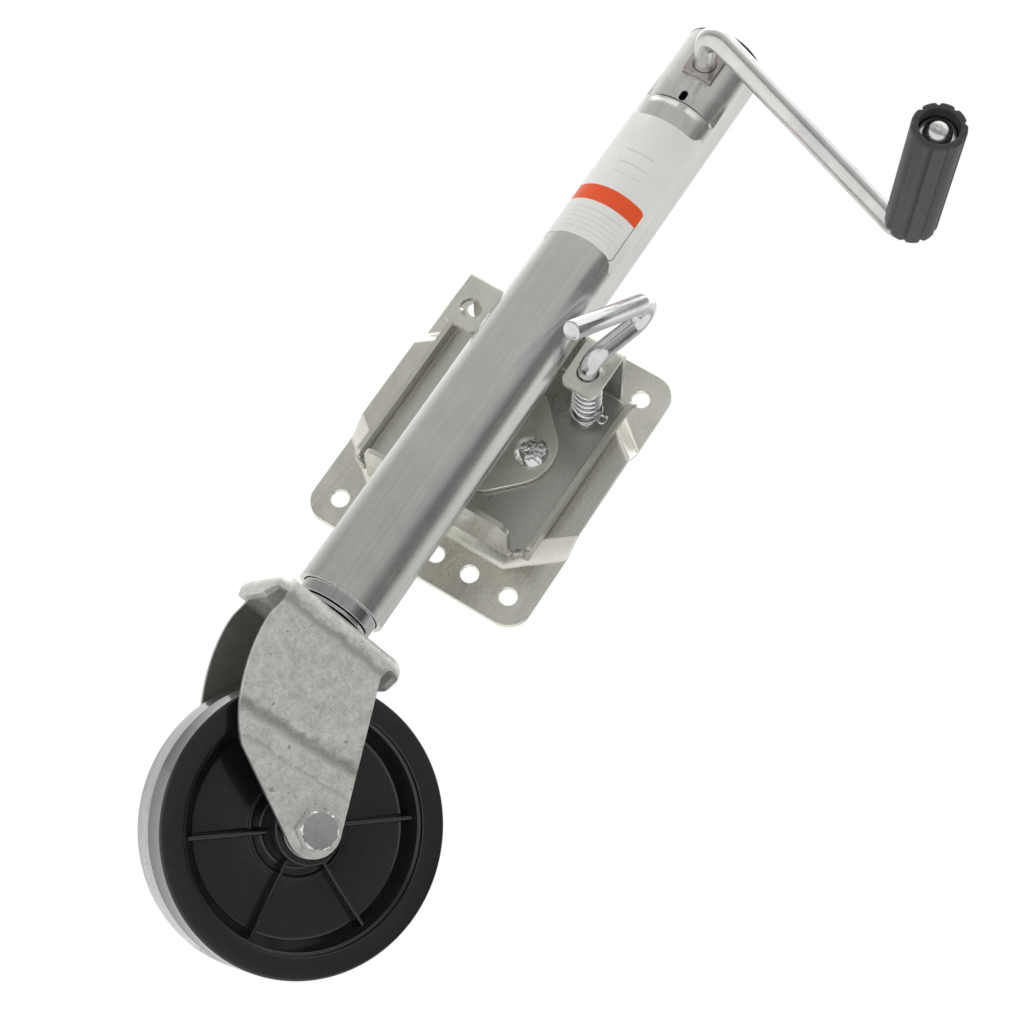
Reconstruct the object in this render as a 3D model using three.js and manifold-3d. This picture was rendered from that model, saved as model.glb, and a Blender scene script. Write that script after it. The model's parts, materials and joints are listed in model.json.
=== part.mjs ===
// A-frame trailer tongue jack: a crank-driven screw leg with a swivelling caster wheel,
// carried on a bolt-on bracket that swings the leg up for towing.
// Millimetres, +Z up. The origin is where the bracket's pivot axis meets the plane of the
// mount plate's back face. -Y points away from the trailer, towards the crank.
import * as THREE from 'three';
import { mergeVertices } from 'three/addons/utils/BufferGeometryUtils.js';
import Module from 'manifold-3d';

const wasm = await Module();
wasm.setup();

// ---------------------------------------------------------------- driving dimensions
const GAP = 0.3; // clearance between pieces that touch on the real object
const SHEET = 3; // bracket sheet thickness

const PLATE = { halfWidth: 73, bottom: -92.5, top: 88, corner: 14, rise: 10 };
const RAISED = { halfHeight: 61, flatHalf: 44, sideHalf: 31.4, ramp: 4, reach: 80 };
const BOLT_HOLE_R = 5.3;
const LOWER_HOLES = { z: -75.5, outer: 57, inner: 31.2, slotHalf: 8.4, slotR: 5 };
const UPPER_HOLES = { z: 69.8, x: 57 };
const PIN_XZ = 38.3; // lock pin axis, as far from the pivot along X as along Z
const PIN_R = 5.6;
const PIN_HOLE_R = 6.4;

const PLATE_FRONT = -(SHEET + PLATE.rise); // front face of the raised part
const HUB = { r: 31.5, depth: 3.7, bore: 12 };
const RIVET = { x: 25, r: 5, headR: 10, head: 5.2, tailR: 8.5, tail: 3.6 };
const RETAINER = { edge: 49.4, corner: 26 };

const BRACKET = { halfWidth: 58.5, halfHeight: 60, rim: 12, wallHalf: 47, topHalf: 50 };
const FLOOR_BACK = PLATE_FRONT - 0.4;
const FLOOR_FRONT = FLOOR_BACK - SHEET;
const EAR = { inner: 27.5, outer: 50, bottom: 25.3, front: -70.2 };

const TUBE = { y: -75.5, r: 25.4, wall: 2.5, bottom: -148, top: 252.5 };
const LEG = { r: 22.3, wall: 2.2, bottom: -155, top: 190 };
const LABEL = { bottom: 88, top: 193, halfAngle: 62, thick: 0.3 };

const CRANK_Z = 227.5;
const ROD_R = 6.7;
const SPINDLE_R = 5; // crank spindle inside the tube
const CRANK = { armY: -136, drop: -21, arm: 167, bend: 15, tipBend: 13 };
const GRIP = { start: -151, end: -240, r: 14, bore: 7, recessR: 10.2, recess: 9, lobes: 9 };
const BUSH = { side: 18.4, front: -103.4, back: -95.5 };

const PINION = { teeth: 12, pitch: 12 };
const GEAR = { teeth: 18, pitch: 18 };
const CONE = { outer: 21.63, inner: 15.6 };
const SCREW = { r: 8, neck: 6.5, bottom: -96, shoulder: 196.5, top: 216.5 };

const SWIVEL_ANGLE = THREE.MathUtils.degToRad(31.6);
const CROWN = { top: -160, sheet: 3.5, halfLong: 41, halfWide: 33, lip: 15, lipHalf: 22 };
const AXLE = { x: 48, z: -256.3, r: 6 };
const WHEEL = { r: 76.2, half: 20.4, hubR: 19, hubHalf: 26.4, bore: 10.2, ribAngle: 40 };

// ---------------------------------------------------------------- materials
const finish = (color, roughness, metalness) =>
  new THREE.MeshStandardMaterial({ color, roughness, metalness });
const ZINC = finish(0xb4b5ac, 0.42, 0.9);
const BRIGHT = finish(0xd2d4d6, 0.2, 1.0);
const CAST_ZINC = finish(0xa9aba4, 0.6, 0.8);
const STEEL = finish(0x83868a, 0.45, 0.9);
const BLACK = finish(0x1c1c1e, 0.35, 0.0);
const GREY = finish(0x444648, 0.6, 0.0);
const STICKER = finish(0xf2f1ed, 0.4, 0.0);

// ---------------------------------------------------------------- solid helpers
// Turns a closed three.js geometry into a manifold solid with its faces pointing out.
function solid(geometry) {
  const bare = geometry.index ? geometry.clone() : geometry;
  bare.deleteAttribute('normal');
  bare.deleteAttribute('uv');
  const merged = mergeVertices(bare, 1e-4);
  const position = merged.attributes.position;
  const index = merged.index.array;
  const corners = [0, 1, 2].map(() => new THREE.Vector3());
  let kept = [];
  let volume = 0;
  for (let i = 0; i < index.length; i += 3) {
    const [a, b, c] = [index[i], index[i + 1], index[i + 2]];
    if (a === b || b === c || a === c) continue;
    kept.push([a, b, c]);
    corners.forEach((corner, k) => corner.fromBufferAttribute(position, kept.at(-1)[k]));
    volume += corners[0].dot(corners[1].cross(corners[2]));
  }
  if (volume < 0) kept = kept.map(([a, b, c]) => [a, c, b]);
  const mesh = new wasm.Mesh({
    numProp: 3,
    vertProperties: Float32Array.from(position.array),
    triVerts: Uint32Array.from(kept.flat()),
  });
  mesh.merge();
  return new wasm.Manifold(mesh);
}

// Gives a manifold solid back as a three.js geometry.
function geometryOf(shape) {
  const { vertProperties, triVerts } = shape.getMesh();
  const geometry = new THREE.BufferGeometry();
  geometry.setAttribute('position', new THREE.BufferAttribute(vertProperties, 3));
  geometry.setIndex(new THREE.BufferAttribute(triVerts, 1));
  const flat = geometry.toNonIndexed();
  flat.computeVertexNormals();
  return flat;
}

const join = (...shapes) => shapes.reduce((all, shape) => all.add(shape));
const cut = (shape, ...tools) => tools.reduce((left, tool) => left.subtract(tool), shape);

// A box from its lowest to its highest corner.
function block(x0, x1, y0, y1, z0, z1) {
  const box = new THREE.BoxGeometry(x1 - x0, y1 - y0, z1 - z0);
  return solid(box.translate((x0 + x1) / 2, (y0 + y1) / 2, (z0 + z1) / 2));
}

// A body of revolution about +Z from [radius, height] pairs, closed on itself or on the axis.
function turned(profile, segments = 40) {
  const closed = profile[0][0] === 0 && profile.at(-1)[0] === 0 ? profile : [...profile, profile[0]];
  const points = closed.map(([r, h]) => new THREE.Vector2(r, h));
  return solid(new THREE.LatheGeometry(points, segments).rotateX(Math.PI / 2));
}

const rod = (r, z0, z1, segments = 32) =>
  turned([[0, z0], [r, z0], [r, z1], [0, z1]], segments);
const ring = (inner, outer, z0, z1, segments = 40) =>
  turned([[inner, z0], [outer, z0], [outer, z1], [inner, z1]], segments);

// Lays a body made about +Z down along Y: its +Z end then points towards -Y.
const alongY = (shape, x = 0, z = 0) => shape.rotate([90, 0, 0]).translate([x, 0, z]);
const rodY = (r, x, z, front, back, segments = 32) =>
  alongY(rod(r, -back, -front, segments), x, z);

// An outline in the XZ plane, as thick as asked, from its back face towards -Y.
const plateXZ = (shape, back, thick, curveSegments = 8) =>
  solid(new THREE.ExtrudeGeometry(shape, { depth: thick, bevelEnabled: false, curveSegments })
    .rotateX(Math.PI / 2).translate(0, back, 0));
// An outline in the XY plane, between two heights.
const plateXY = (shape, z0, z1, curveSegments = 8) =>
  solid(new THREE.ExtrudeGeometry(shape, { depth: z1 - z0, bevelEnabled: false, curveSegments })
    .translate(0, 0, z0));

// A polygon with its corners rounded; each corner is [x, y, radius].
function rounded(corners) {
  const shape = new THREE.Shape();
  const points = corners.map(([x, y]) => new THREE.Vector2(x, y));
  corners.forEach(([, , radius], i) => {
    const here = points[i];
    const before = points.at(i - 1).clone().sub(here).normalize();
    const after = points[(i + 1) % points.length].clone().sub(here).normalize();
    const half = Math.acos(THREE.MathUtils.clamp(before.dot(after), -1, 1)) / 2;
    const trim = radius / Math.tan(half);
    const from = here.clone().addScaledVector(before, trim);
    const to = here.clone().addScaledVector(after, trim);
    if (i === 0) shape.moveTo(from.x, from.y);
    else shape.lineTo(from.x, from.y);
    if (radius > 0) {
      const centre = here.clone().addScaledVector(before.clone().add(after).normalize(),
        radius / Math.sin(half));
      const start = Math.atan2(from.y - centre.y, from.x - centre.x);
      const stop = Math.atan2(to.y - centre.y, to.x - centre.x);
      const clockwise = before.x * after.y - before.y * after.x > 0;
      shape.absarc(centre.x, centre.y, radius, start, stop, clockwise);
    }
  });
  shape.closePath();
  return shape;
}

const rectangle = (x0, x1, y0, y1, r) =>
  rounded([[x0, y0, r], [x1, y0, r], [x1, y1, r], [x0, y1, r]]);

// A closed body between two outlines with the same number of corners, lying at two Y values.
function loftY(outlineA, yA, outlineB, yB) {
  const count = outlineA.length;
  const positions = [...outlineA.map(([x, z]) => [x, yA, z]), ...outlineB.map(([x, z]) => [x, yB, z])];
  const caps = THREE.ShapeUtils.triangulateShape(outlineA.map(([x, z]) => new THREE.Vector2(x, z)), []);
  const faces = [];
  for (const [a, b, c] of caps) faces.push(a, b, c, a + count, c + count, b + count);
  for (let i = 0; i < count; i++) {
    const j = (i + 1) % count;
    faces.push(j, i, i + count, j, i + count, j + count);
  }
  const geometry = new THREE.BufferGeometry();
  geometry.setAttribute('position', new THREE.Float32BufferAttribute(positions.flat(), 3));
  geometry.setIndex(faces);
  return solid(geometry);
}

// A rod's centreline with its own spacing: one ring at each point, few where it is straight.
class BentRod extends THREE.Curve {
  constructor(points) {
    super();
    this.points = points;
  }

  getUtoTmapping(u) {
    return u;
  }

  getPoint(t, target = new THREE.Vector3()) {
    const place = THREE.MathUtils.clamp(t, 0, 1) * (this.points.length - 1);
    const i = Math.min(Math.floor(place), this.points.length - 2);
    return target.lerpVectors(this.points[i], this.points[i + 1], place - i);
  }
}

// Points of a line through the corners, with an arc of the given radius at each inner corner.
function bends(corners, radii, steps) {
  const points = [corners[0]];
  for (let i = 1; i < corners.length - 1; i++) {
    const here = corners[i];
    const before = corners[i - 1].clone().sub(here).normalize();
    const after = corners[i + 1].clone().sub(here).normalize();
    const half = before.angleTo(after) / 2;
    const radius = radii[i - 1];
    const bisector = before.clone().add(after).normalize();
    const centre = here.clone().addScaledVector(bisector, radius / Math.sin(half));
    const from = here.clone().addScaledVector(before, radius / Math.tan(half)).sub(centre);
    const to = here.clone().addScaledVector(after, radius / Math.tan(half)).sub(centre);
    const turn = from.angleTo(to);
    const count = Math.max(2, Math.round(steps * turn / Math.PI));
    for (let k = 0; k <= count; k++) {
      const a = Math.sin((1 - k / count) * turn) / Math.sin(turn);
      const b = Math.sin(k / count * turn) / Math.sin(turn);
      points.push(centre.clone().addScaledVector(from, a).addScaledVector(to, b));
    }
  }
  points.push(corners.at(-1));
  return points;
}

function roundBar(points, radius, sides) {
  const section = new THREE.Shape();
  for (let i = 0; i < sides; i++) {
    const angle = i / sides * 2 * Math.PI;
    const point = [radius * Math.cos(angle), radius * Math.sin(angle)];
    if (i === 0) section.moveTo(...point);
    else section.lineTo(...point);
  }
  section.closePath();
  return solid(new THREE.ExtrudeGeometry(section, {
    steps: points.length - 1, bevelEnabled: false, extrudePath: new BentRod(points),
  }));
}

function hexagon(acrossFlats) {
  const r = acrossFlats / Math.sqrt(3);
  return rounded([0, 1, 2, 3, 4, 5].map((k) =>
    [r * Math.cos(k * Math.PI / 3), r * Math.sin(k * Math.PI / 3), 0]));
}

const v3 = (x, y, z) => new THREE.Vector3(x, y, z);

// ---------------------------------------------------------------- scene graph helpers
const jack = new THREE.Group();

function piece(name, shape, material, parent = jack) {
  const mesh = new THREE.Mesh(geometryOf(shape), material);
  mesh.name = name;
  parent.add(mesh);
}

// ---------------------------------------------------------------- mount plate and pivot
// Outline of the raised middle of the mount plate, drawn in from its foot by inset.
function raisedOutline(inset) {
  const { halfHeight, flatHalf, sideHalf, reach } = RAISED;
  const high = halfHeight - inset;
  const side = sideHalf - 1.3 * inset;
  const flat = flatHalf - 0.45 * inset;
  return [[flat, -high], [reach, -side], [reach, side], [flat, high],
    [-flat, high], [-reach, side], [-reach, -side], [-flat, -high]];
}

function mountPlate() {
  const { halfWidth, bottom, top, corner } = PLATE;
  const outline = plateXZ(rectangle(-halfWidth, halfWidth, bottom, top, corner), 0, SHEET + PLATE.rise);
  const flat = block(-halfWidth, halfWidth, -SHEET, 0, bottom, top);
  const slope = RAISED.ramp / PLATE.rise;
  const outer = loftY(raisedOutline(-slope * 2), 2 - SHEET, raisedOutline(RAISED.ramp), PLATE_FRONT);
  const wallStep = SHEET * 1.07;
  const inner = loftY(raisedOutline(wallStep - slope * (SHEET + 1)), 1,
    raisedOutline(wallStep + slope * (PLATE.rise - SHEET)), -PLATE.rise);
  const bolts = [
    ...[-1, 1].flatMap((s) => [[s * LOWER_HOLES.outer, LOWER_HOLES.z], [s * LOWER_HOLES.inner, LOWER_HOLES.z],
      [s * UPPER_HOLES.x, UPPER_HOLES.z]]),
  ].map(([x, z]) => rodY(BOLT_HOLE_R, x, z, PLATE_FRONT - 1, 1, 16));
  const { slotHalf, slotR, z: slotZ } = LOWER_HOLES;
  const slot = plateXZ(rectangle(-slotHalf - slotR, slotHalf + slotR, slotZ - slotR, slotZ + slotR,
    slotR - 0.01), 1, SHEET + 2);
  const locks = [-1, 1].flatMap((sx) => [-1, 1].map((sz) =>
    rodY(PIN_HOLE_R, sx * PIN_XZ, sz * PIN_XZ, PLATE_FRONT - 1, 1, 16)));
  const rivets = [-1, 1].map((s) => rodY(RIVET.r + GAP, s * RIVET.x, 0, PLATE_FRONT - 1, 1, 16));
  const sheet = cut(flat.add(outer), inner).intersect(outline);
  return cut(sheet, ...bolts, slot, ...locks, ...rivets);
}

const HUB_BACK = PLATE_FRONT - 0.2;
const HUB_FRONT = HUB_BACK - HUB.depth;
const RETAINER_BACK = HUB_FRONT - 0.2;
const RETAINER_FRONT = RETAINER_BACK - SHEET;
const rivetHoles = () => [-1, 1].map((s) =>
  rodY(RIVET.r + GAP, s * RIVET.x, 0, RETAINER_FRONT - 1, 0, 16));

const hubRing = () => cut(alongY(ring(HUB.bore, HUB.r, -HUB_BACK, -HUB_FRONT, 36)), ...rivetHoles());

function retainerPlate() {
  const tips = [[1, 0], [0, 1], [-1, 0], [0, -1]].map(([x, z]) =>
    [x * RETAINER.edge, z * RETAINER.edge, RETAINER.corner]);
  return cut(plateXZ(rounded(tips), RETAINER_BACK, SHEET, 6), ...rivetHoles());
}

function retainerRivet(x) {
  const seat = -RETAINER_FRONT + 0.2;
  const back = PLATE.rise - 0.3;
  return alongY(turned([[0, back - RIVET.tail], [RIVET.tailR - 2.5, back - RIVET.tail],
    [RIVET.tailR, back - 1.2], [RIVET.tailR, back], [RIVET.r, back], [RIVET.r, seat],
    [RIVET.headR, seat], [RIVET.headR, seat + 1.6], [RIVET.headR - 2.2, seat + 3.8],
    [RIVET.headR - 5.5, seat + RIVET.head], [0, seat + RIVET.head]], 20), x, 0);
}

// ---------------------------------------------------------------- swing bracket
function swivelBracket() {
  const { halfWidth, halfHeight, rim, wallHalf, topHalf } = BRACKET;
  const floor = plateXZ(rectangle(-halfWidth, halfWidth, -halfHeight, halfHeight, 6), FLOOR_BACK, SHEET);
  const rims = [-1, 1].map((s) => {
    const centre = s * (halfWidth - SHEET / 2);
    return block(centre - SHEET / 2, centre + SHEET / 2, FLOOR_FRONT - rim, FLOOR_BACK,
      -halfHeight + 6, halfHeight - 6);
  });
  const lowWall = plateXY(rounded([[-wallHalf, FLOOR_BACK, 0], [-wallHalf, -53, 8], [wallHalf, -53, 8],
    [wallHalf, FLOOR_BACK, 0]]), -halfHeight, -halfHeight + SHEET);
  const topWall = plateXY(rounded([[-topHalf, FLOOR_BACK, 0], [-topHalf, EAR.front, 0],
    [topHalf, EAR.front, 0], [topHalf, FLOOR_BACK, 0]]), halfHeight - SHEET, halfHeight);
  const ears = [-1, 1].map((s) => {
    const [x0, x1] = [s * EAR.inner, s * EAR.outer].sort((a, b) => a - b);
    return plateXZ(rounded([[x0, EAR.bottom, 5], [x1, EAR.bottom, 5], [x1, halfHeight, 0],
      [x0, halfHeight, 0]]), EAR.front + SHEET, SHEET);
  });
  const tubeRoom = rod(TUBE.r + GAP, -80, 80, 48).translate([0, TUBE.y, 0]);
  const pinHoles = [-1, 1].map((s) => rodY(PIN_HOLE_R, s * PIN_XZ, PIN_XZ, EAR.front - 1, 0, 16));
  const hubHole = rodY(HUB.r + 0.5, 0, 0, FLOOR_FRONT - 1, 0, 36);
  return cut(join(floor, ...rims, lowWall, topWall, ...ears), tubeRoom, ...pinHoles, hubHole);
}

const atTube = (shape) => shape.translate([0, TUBE.y, 0]);

function outerTube() {
  const wall = atTube(ring(TUBE.r - TUBE.wall, TUBE.r, TUBE.bottom, TUBE.top, 48));
  const half = BUSH.side / 2 + 0.15;
  const squareHole = block(-half, half, TUBE.y - 30, TUBE.y - 12, CRANK_Z - half, CRANK_Z + half);
  const backHole = rodY(8.7, 0, CRANK_Z, TUBE.y + 12, TUBE.y + 30, 20);
  const sight = plateXZ(rectangle(-2.1, 2.1, 200, 207.2, 2.09), TUBE.y - 12, 20, 6);
  return cut(wall, squareHole, backHole, sight);
}

function topCap() {
  const seat = TUBE.top + 0.2;
  const plug = TUBE.r - TUBE.wall - 0.25;
  return atTube(turned([[0, seat + 2.6], [TUBE.r - 4, seat + 2.6], [TUBE.r - 1, seat + 1.9],
    [TUBE.r, seat + 1], [TUBE.r, seat], [plug, seat], [plug, seat - 8], [plug - 2, seat - 8],
    [plug - 2, seat], [0, seat]], 36));
}

function labelSheet() {
  const inner = TUBE.r + 0.15;
  const half = THREE.MathUtils.degToRad(LABEL.halfAngle);
  const shape = new THREE.Shape();
  shape.absarc(0, TUBE.y, inner + LABEL.thick, -Math.PI / 2 - half, -Math.PI / 2 + half, false);
  shape.absarc(0, TUBE.y, inner, -Math.PI / 2 + half, -Math.PI / 2 - half, true);
  shape.closePath();
  return plateXY(shape, LABEL.bottom, LABEL.top, 16);
}

const squareBush = () => {
  const half = BUSH.side / 2;
  return cut(block(-half, half, BUSH.front, BUSH.back, CRANK_Z - half, CRANK_Z + half),
    rodY(ROD_R + 0.25, 0, CRANK_Z, BUSH.front - 1, BUSH.back + 1, 20));
};
const rearBush = () => alongY(ring(SPINDLE_R + 0.2, 8.4, 49.9, 54.7, 20), 0, CRANK_Z);
const bearingPlate = () => atTube(ring(SCREW.neck + GAP, TUBE.r - TUBE.wall - GAP, 197.2, 200.8, 32));
const lowerRace = () => atTube(turned([[SCREW.neck + GAP, 201], [14.5, 201], [14.5, 203.2],
  [11.8, 203.2], [10.4, 202.4], [9, 203.2], [SCREW.neck + GAP, 203.2]], 20));

// ---------------------------------------------------------------- lock pin
const PIN_TIP = PLATE_FRONT - 0.4;
const HANDLE = { angle: 73, y: EAR.front - 13.4, bend: 12, straight: 31, turn: 11, lean: 32, back: 60 };

function lockPin() {
  const { angle, y, bend, straight, turn, lean, back } = HANDLE;
  const tilt = THREE.MathUtils.degToRad(angle);
  const at = (s, depth) => v3(PIN_XZ + s * Math.cos(tilt), depth, PIN_XZ + s * Math.sin(tilt));
  const leanAngle = THREE.MathUtils.degToRad(lean);
  const points = bends([at(0, PIN_TIP - 1.2), at(0, y), at(straight, y)], [bend], 9);
  const sweep = Math.PI - leanAngle;
  for (let k = 1; k <= 7; k++) {
    const around = Math.PI / 2 - sweep * k / 7;
    points.push(at(straight + turn * Math.cos(around), y - turn + turn * Math.sin(around)));
  }
  const end = Math.PI / 2 - sweep;
  const from = [straight + turn * Math.cos(end), y - turn + turn * Math.sin(end)];
  points.push(at(from[0] - back * Math.cos(leanAngle), from[1] - back * Math.sin(leanAngle)));
  const nose = alongY(turned([[0, -PIN_TIP], [PIN_R - 1.2, -PIN_TIP], [PIN_R, 1.2 - PIN_TIP],
    [PIN_R, 2.2 - PIN_TIP], [0, 2.2 - PIN_TIP]], 16), PIN_XZ, PIN_XZ);
  const crossHole = rod(1.5, -10, 10, 12).rotate([0, 90, 0]).translate([PIN_XZ, COTTER_Y, PIN_XZ]);
  return cut(roundBar(points, PIN_R, 16).add(nose), crossHole);
}

const COTTER_Y = PIN_TIP - 9;
const WASHER_BACK = COTTER_Y - 1.6;
const lockPinWasher = () => alongY(ring(PIN_R + 0.25, 9.6, -WASHER_BACK, 1.4 - WASHER_BACK, 20),
  PIN_XZ, PIN_XZ);

// The split pin: a straight leg through the lock pin and a round eye beside it.
function splitPin() {
  const leg = rod(1.2, -8.6, 9.4, 8).rotate([0, 90, 0]);
  const points = [];
  for (let k = 0; k <= 12; k++) {
    const turn = -0.6 * Math.PI + 1.45 * Math.PI * k / 12;
    points.push(v3(12.2 + 3.4 * Math.cos(turn), 0, 3.4 * Math.sin(turn)));
  }
  return join(leg, roundBar([v3(8.6, 0, 0), ...points], 1.2, 8))
    .translate([PIN_XZ, COTTER_Y, PIN_XZ]);
}

function lockSpring() {
  const [front, back] = [EAR.front + SHEET + 0.3, WASHER_BACK - 1.8];
  const [radius, wire, turns, perTurn] = [7.6, 0.9, 7, 8];
  const points = [];
  for (let k = 0; k <= turns * perTurn; k++) {
    const t = k / (turns * perTurn);
    const closing = THREE.MathUtils.smoothstep(t, 0, 0.06) + THREE.MathUtils.smoothstep(t, 0.94, 1);
    const y = front + wire + (back - front - 2 * wire) * (0.12 * closing / 2 + 0.88 * t);
    const angle = t * turns * 2 * Math.PI;
    points.push(v3(PIN_XZ + radius * Math.cos(angle), y, PIN_XZ + radius * Math.sin(angle)));
  }
  return roundBar(points, wire, 5);
}

// ---------------------------------------------------------------- crank and grip
const DROP = THREE.MathUtils.degToRad(CRANK.drop);
const ARM_END = [CRANK.arm * Math.cos(DROP), CRANK_Z + CRANK.arm * Math.sin(DROP)];

const PINION_PIN = 18.2; // pin through the pinion's hub, behind the leg's axis
const pinionPinHole = () => rod(1.6, -15, 15, 12).translate([0, TUBE.y + PINION_PIN, CRANK_Z]);

function crankRod() {
  const shoulder = BUSH.back - 1;
  const centreline = bends([v3(0, shoulder - 2, CRANK_Z), v3(0, CRANK.armY, CRANK_Z),
    v3(ARM_END[0], CRANK.armY, ARM_END[1]), v3(ARM_END[0], GRIP.end + GRIP.recess - 2, ARM_END[1])],
  [CRANK.bend, CRANK.tipBend], 10);
  const spindle = rodY(SPINDLE_R, 0, CRANK_Z, shoulder - 3, TUBE.y + TUBE.r - 1.2, 16);
  const seat = -(GRIP.end + GRIP.recess) + 2;
  const head = alongY(turned([[0, seat - 1], [ROD_R - 0.4, seat - 1], [ROD_R - 0.4, seat + 2],
    [7.4, seat + 2], [7.2, seat + 3.4], [5, seat + 5], [0, seat + 5.6]], 18), ...ARM_END);
  return cut(join(roundBar(centreline, ROD_R, 18), spindle, head), pinionPinHole());
}

function grip() {
  const outline = new THREE.Shape();
  const count = GRIP.lobes * 6;
  for (let i = 0; i < count; i++) {
    const angle = i / count * 2 * Math.PI;
    const dip = Math.max(0, Math.cos(GRIP.lobes * angle) - 0.35) / 0.65;
    const radius = GRIP.r - 1.3 * dip;
    const point = [ARM_END[0] + radius * Math.cos(angle), ARM_END[1] + radius * Math.sin(angle)];
    if (i === 0) outline.moveTo(...point);
    else outline.lineTo(...point);
  }
  outline.closePath();
  const body = plateXZ(outline, GRIP.start, GRIP.start - GRIP.end);
  const bore = rodY(GRIP.bore, ...ARM_END, GRIP.end - 1, GRIP.start + 1, 20);
  const recess = rodY(GRIP.recessR, ...ARM_END, GRIP.end - 1, GRIP.end + GRIP.recess, 20);
  return cut(body, bore, recess);
}

const gripWasher = () => {
  const seat = -(GRIP.end + GRIP.recess) + 0.3;
  return alongY(ring(ROD_R + 0.25, 9.6, seat, seat + 1.4, 18), ...ARM_END);
};

// ---------------------------------------------------------------- bevel gears
// A straight bevel gear about +Z with its apex at the origin and its teeth below it. Each
// outline point runs along a ray from the apex, between two spheres.
function bevelGear({ teeth, pitch }, hubR, hubDepth) {
  const centre = Math.asin(pitch / CONE.outer);
  const tip = centre + 0.075;
  const root = centre - 0.105;
  const step = 2 * Math.PI / teeth;
  const outline = [];
  for (let i = 0; i < teeth; i++) {
    for (const [place, cone] of [[-0.32, root], [-0.11, tip], [0.11, tip], [0.32, root]]) {
      outline.push([(i + place) * step, cone]);
    }
  }
  const count = outline.length;
  const positions = [];
  for (const radius of [CONE.outer, CONE.inner]) {
    for (const [turn, cone] of outline) {
      positions.push(radius * Math.sin(cone) * Math.cos(turn), radius * Math.sin(cone) * Math.sin(turn),
        -radius * Math.cos(cone));
    }
  }
  positions.push(0, 0, -CONE.outer * Math.cos(root), 0, 0, -CONE.inner * Math.cos(root));
  const faces = [];
  for (let i = 0; i < count; i++) {
    const j = (i + 1) % count;
    faces.push(i, j, j + count, i, j + count, i + count, j, i, 2 * count, i + count, j + count, 2 * count + 1);
  }
  const geometry = new THREE.BufferGeometry();
  geometry.setAttribute('position', new THREE.Float32BufferAttribute(positions, 3));
  geometry.setIndex(faces);
  return solid(geometry).add(rod(hubR, -hubDepth, -CONE.outer * Math.cos(root) + 2, 20));
}

const crankPinion = () => cut(cut(bevelGear(PINION, 9, 20.4), rod(SPINDLE_R + 0.15, -40, 0, 16))
  .rotate([90, 0, 0]).translate([0, TUBE.y, CRANK_Z]), pinionPinHole());
const pinionPin = () => rod(1.35, -8.6, 8.6, 12).translate([0, TUBE.y + PINION_PIN, CRANK_Z]);

const screwGear = () => cut(bevelGear(GEAR, 13, 20.2),
  rod(SCREW.neck + 0.15, -40, 0, 18), rod(1.6, -20, 20, 12).rotate([0, 90, 0]).translate([0, 0, -17]))
  .translate([0, TUBE.y, CRANK_Z]);
const gearPin = () => rod(1.35, -12, 12, 12).rotate([0, 90, 0]).translate([0, TUBE.y, CRANK_Z - 17]);

// ---------------------------------------------------------------- screw
function leadScrew() {
  const { r, neck, bottom, shoulder, top } = SCREW;
  const bar = turned([[0, bottom], [r - 1.5, bottom], [r, bottom + 1.5], [r, shoulder], [neck, shoulder],
    [neck, top], [0, top]], 20);
  const gearHole = rod(1.6, -20, 20, 12).rotate([0, 90, 0]).translate([0, 0, CRANK_Z - 17]);
  const stopHole = rod(1.6, -20, 20, 12).rotate([0, 90, 0]).translate([0, 0, -91.5]);
  return atTube(cut(bar, gearHole, stopHole));
}
const upperRace = () => atTube(turned([[SCREW.neck + 0.2, 204.2], [9, 204.2], [10.4, 205], [11.8, 204.2],
  [14.5, 204.2], [14.5, 206.8], [SCREW.neck + 0.2, 206.8]], 20));
const screwStop = () => atTube(cut(ring(SCREW.r + 0.2, 12.5, -94.5, -88.5, 20),
  rod(1.6, -20, 20, 12).rotate([0, 90, 0]).translate([0, 0, -91.5])));
const stopPin = () => atTube(rod(1.35, -12.2, 12.2, 12).rotate([0, 90, 0]).translate([0, 0, -91.5]));

// ---------------------------------------------------------------- leg
const innerTube = () => atTube(ring(LEG.r - LEG.wall, LEG.r, LEG.bottom, LEG.top, 40));
const screwNut = () => atTube(ring(SCREW.r + 0.3, LEG.r - LEG.wall - 0.2, 168, 186, 28));
const legPlug = () => atTube(turned([[7.3, LEG.bottom + 0.4], [LEG.r - LEG.wall - 0.2, LEG.bottom + 0.4],
  [LEG.r - LEG.wall - 0.2, LEG.bottom + 14], [LEG.r - LEG.wall - 2.6, LEG.bottom + 14],
  [LEG.r - LEG.wall - 2.6, LEG.bottom + 4.4], [7.3, LEG.bottom + 4.4]], 28));
const kingPin = () => {
  const headTop = CROWN.top - CROWN.sheet - 0.5;
  const upper = LEG.bottom + 4.7;
  return atTube(turned([[0, headTop - 4.5], [9, headTop - 4.5], [12, headTop - 2], [12, headTop],
    [7, headTop], [7, upper], [11, upper], [11, upper + 3], [8, upper + 5], [0, upper + 5]], 20));
};
const swivelWasher = () => atTube(ring(7.3, 20.4, LEG.bottom - 2.4, LEG.bottom - 0.3, 32));

// ---------------------------------------------------------------- caster fork
// The outline of one fork leg, in the trail direction and height, from crown to axle boss.
function forkLegOutline() {
  const shape = new THREE.Shape();
  const reach = 14.6;
  shape.moveTo(-34, CROWN.top - 1);
  shape.lineTo(30, CROWN.top - 1);
  shape.lineTo(31, -174);
  shape.lineTo(AXLE.x + reach * Math.cos(0.42), AXLE.z + reach * Math.sin(0.42));
  shape.absarc(AXLE.x, AXLE.z, reach, 0.42, -2.02, true);
  shape.lineTo(-4, -247);
  shape.bezierCurveTo(-20, -238, -35, -208, -35.5, -182);
  shape.closePath();
  return shape;
}

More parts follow.
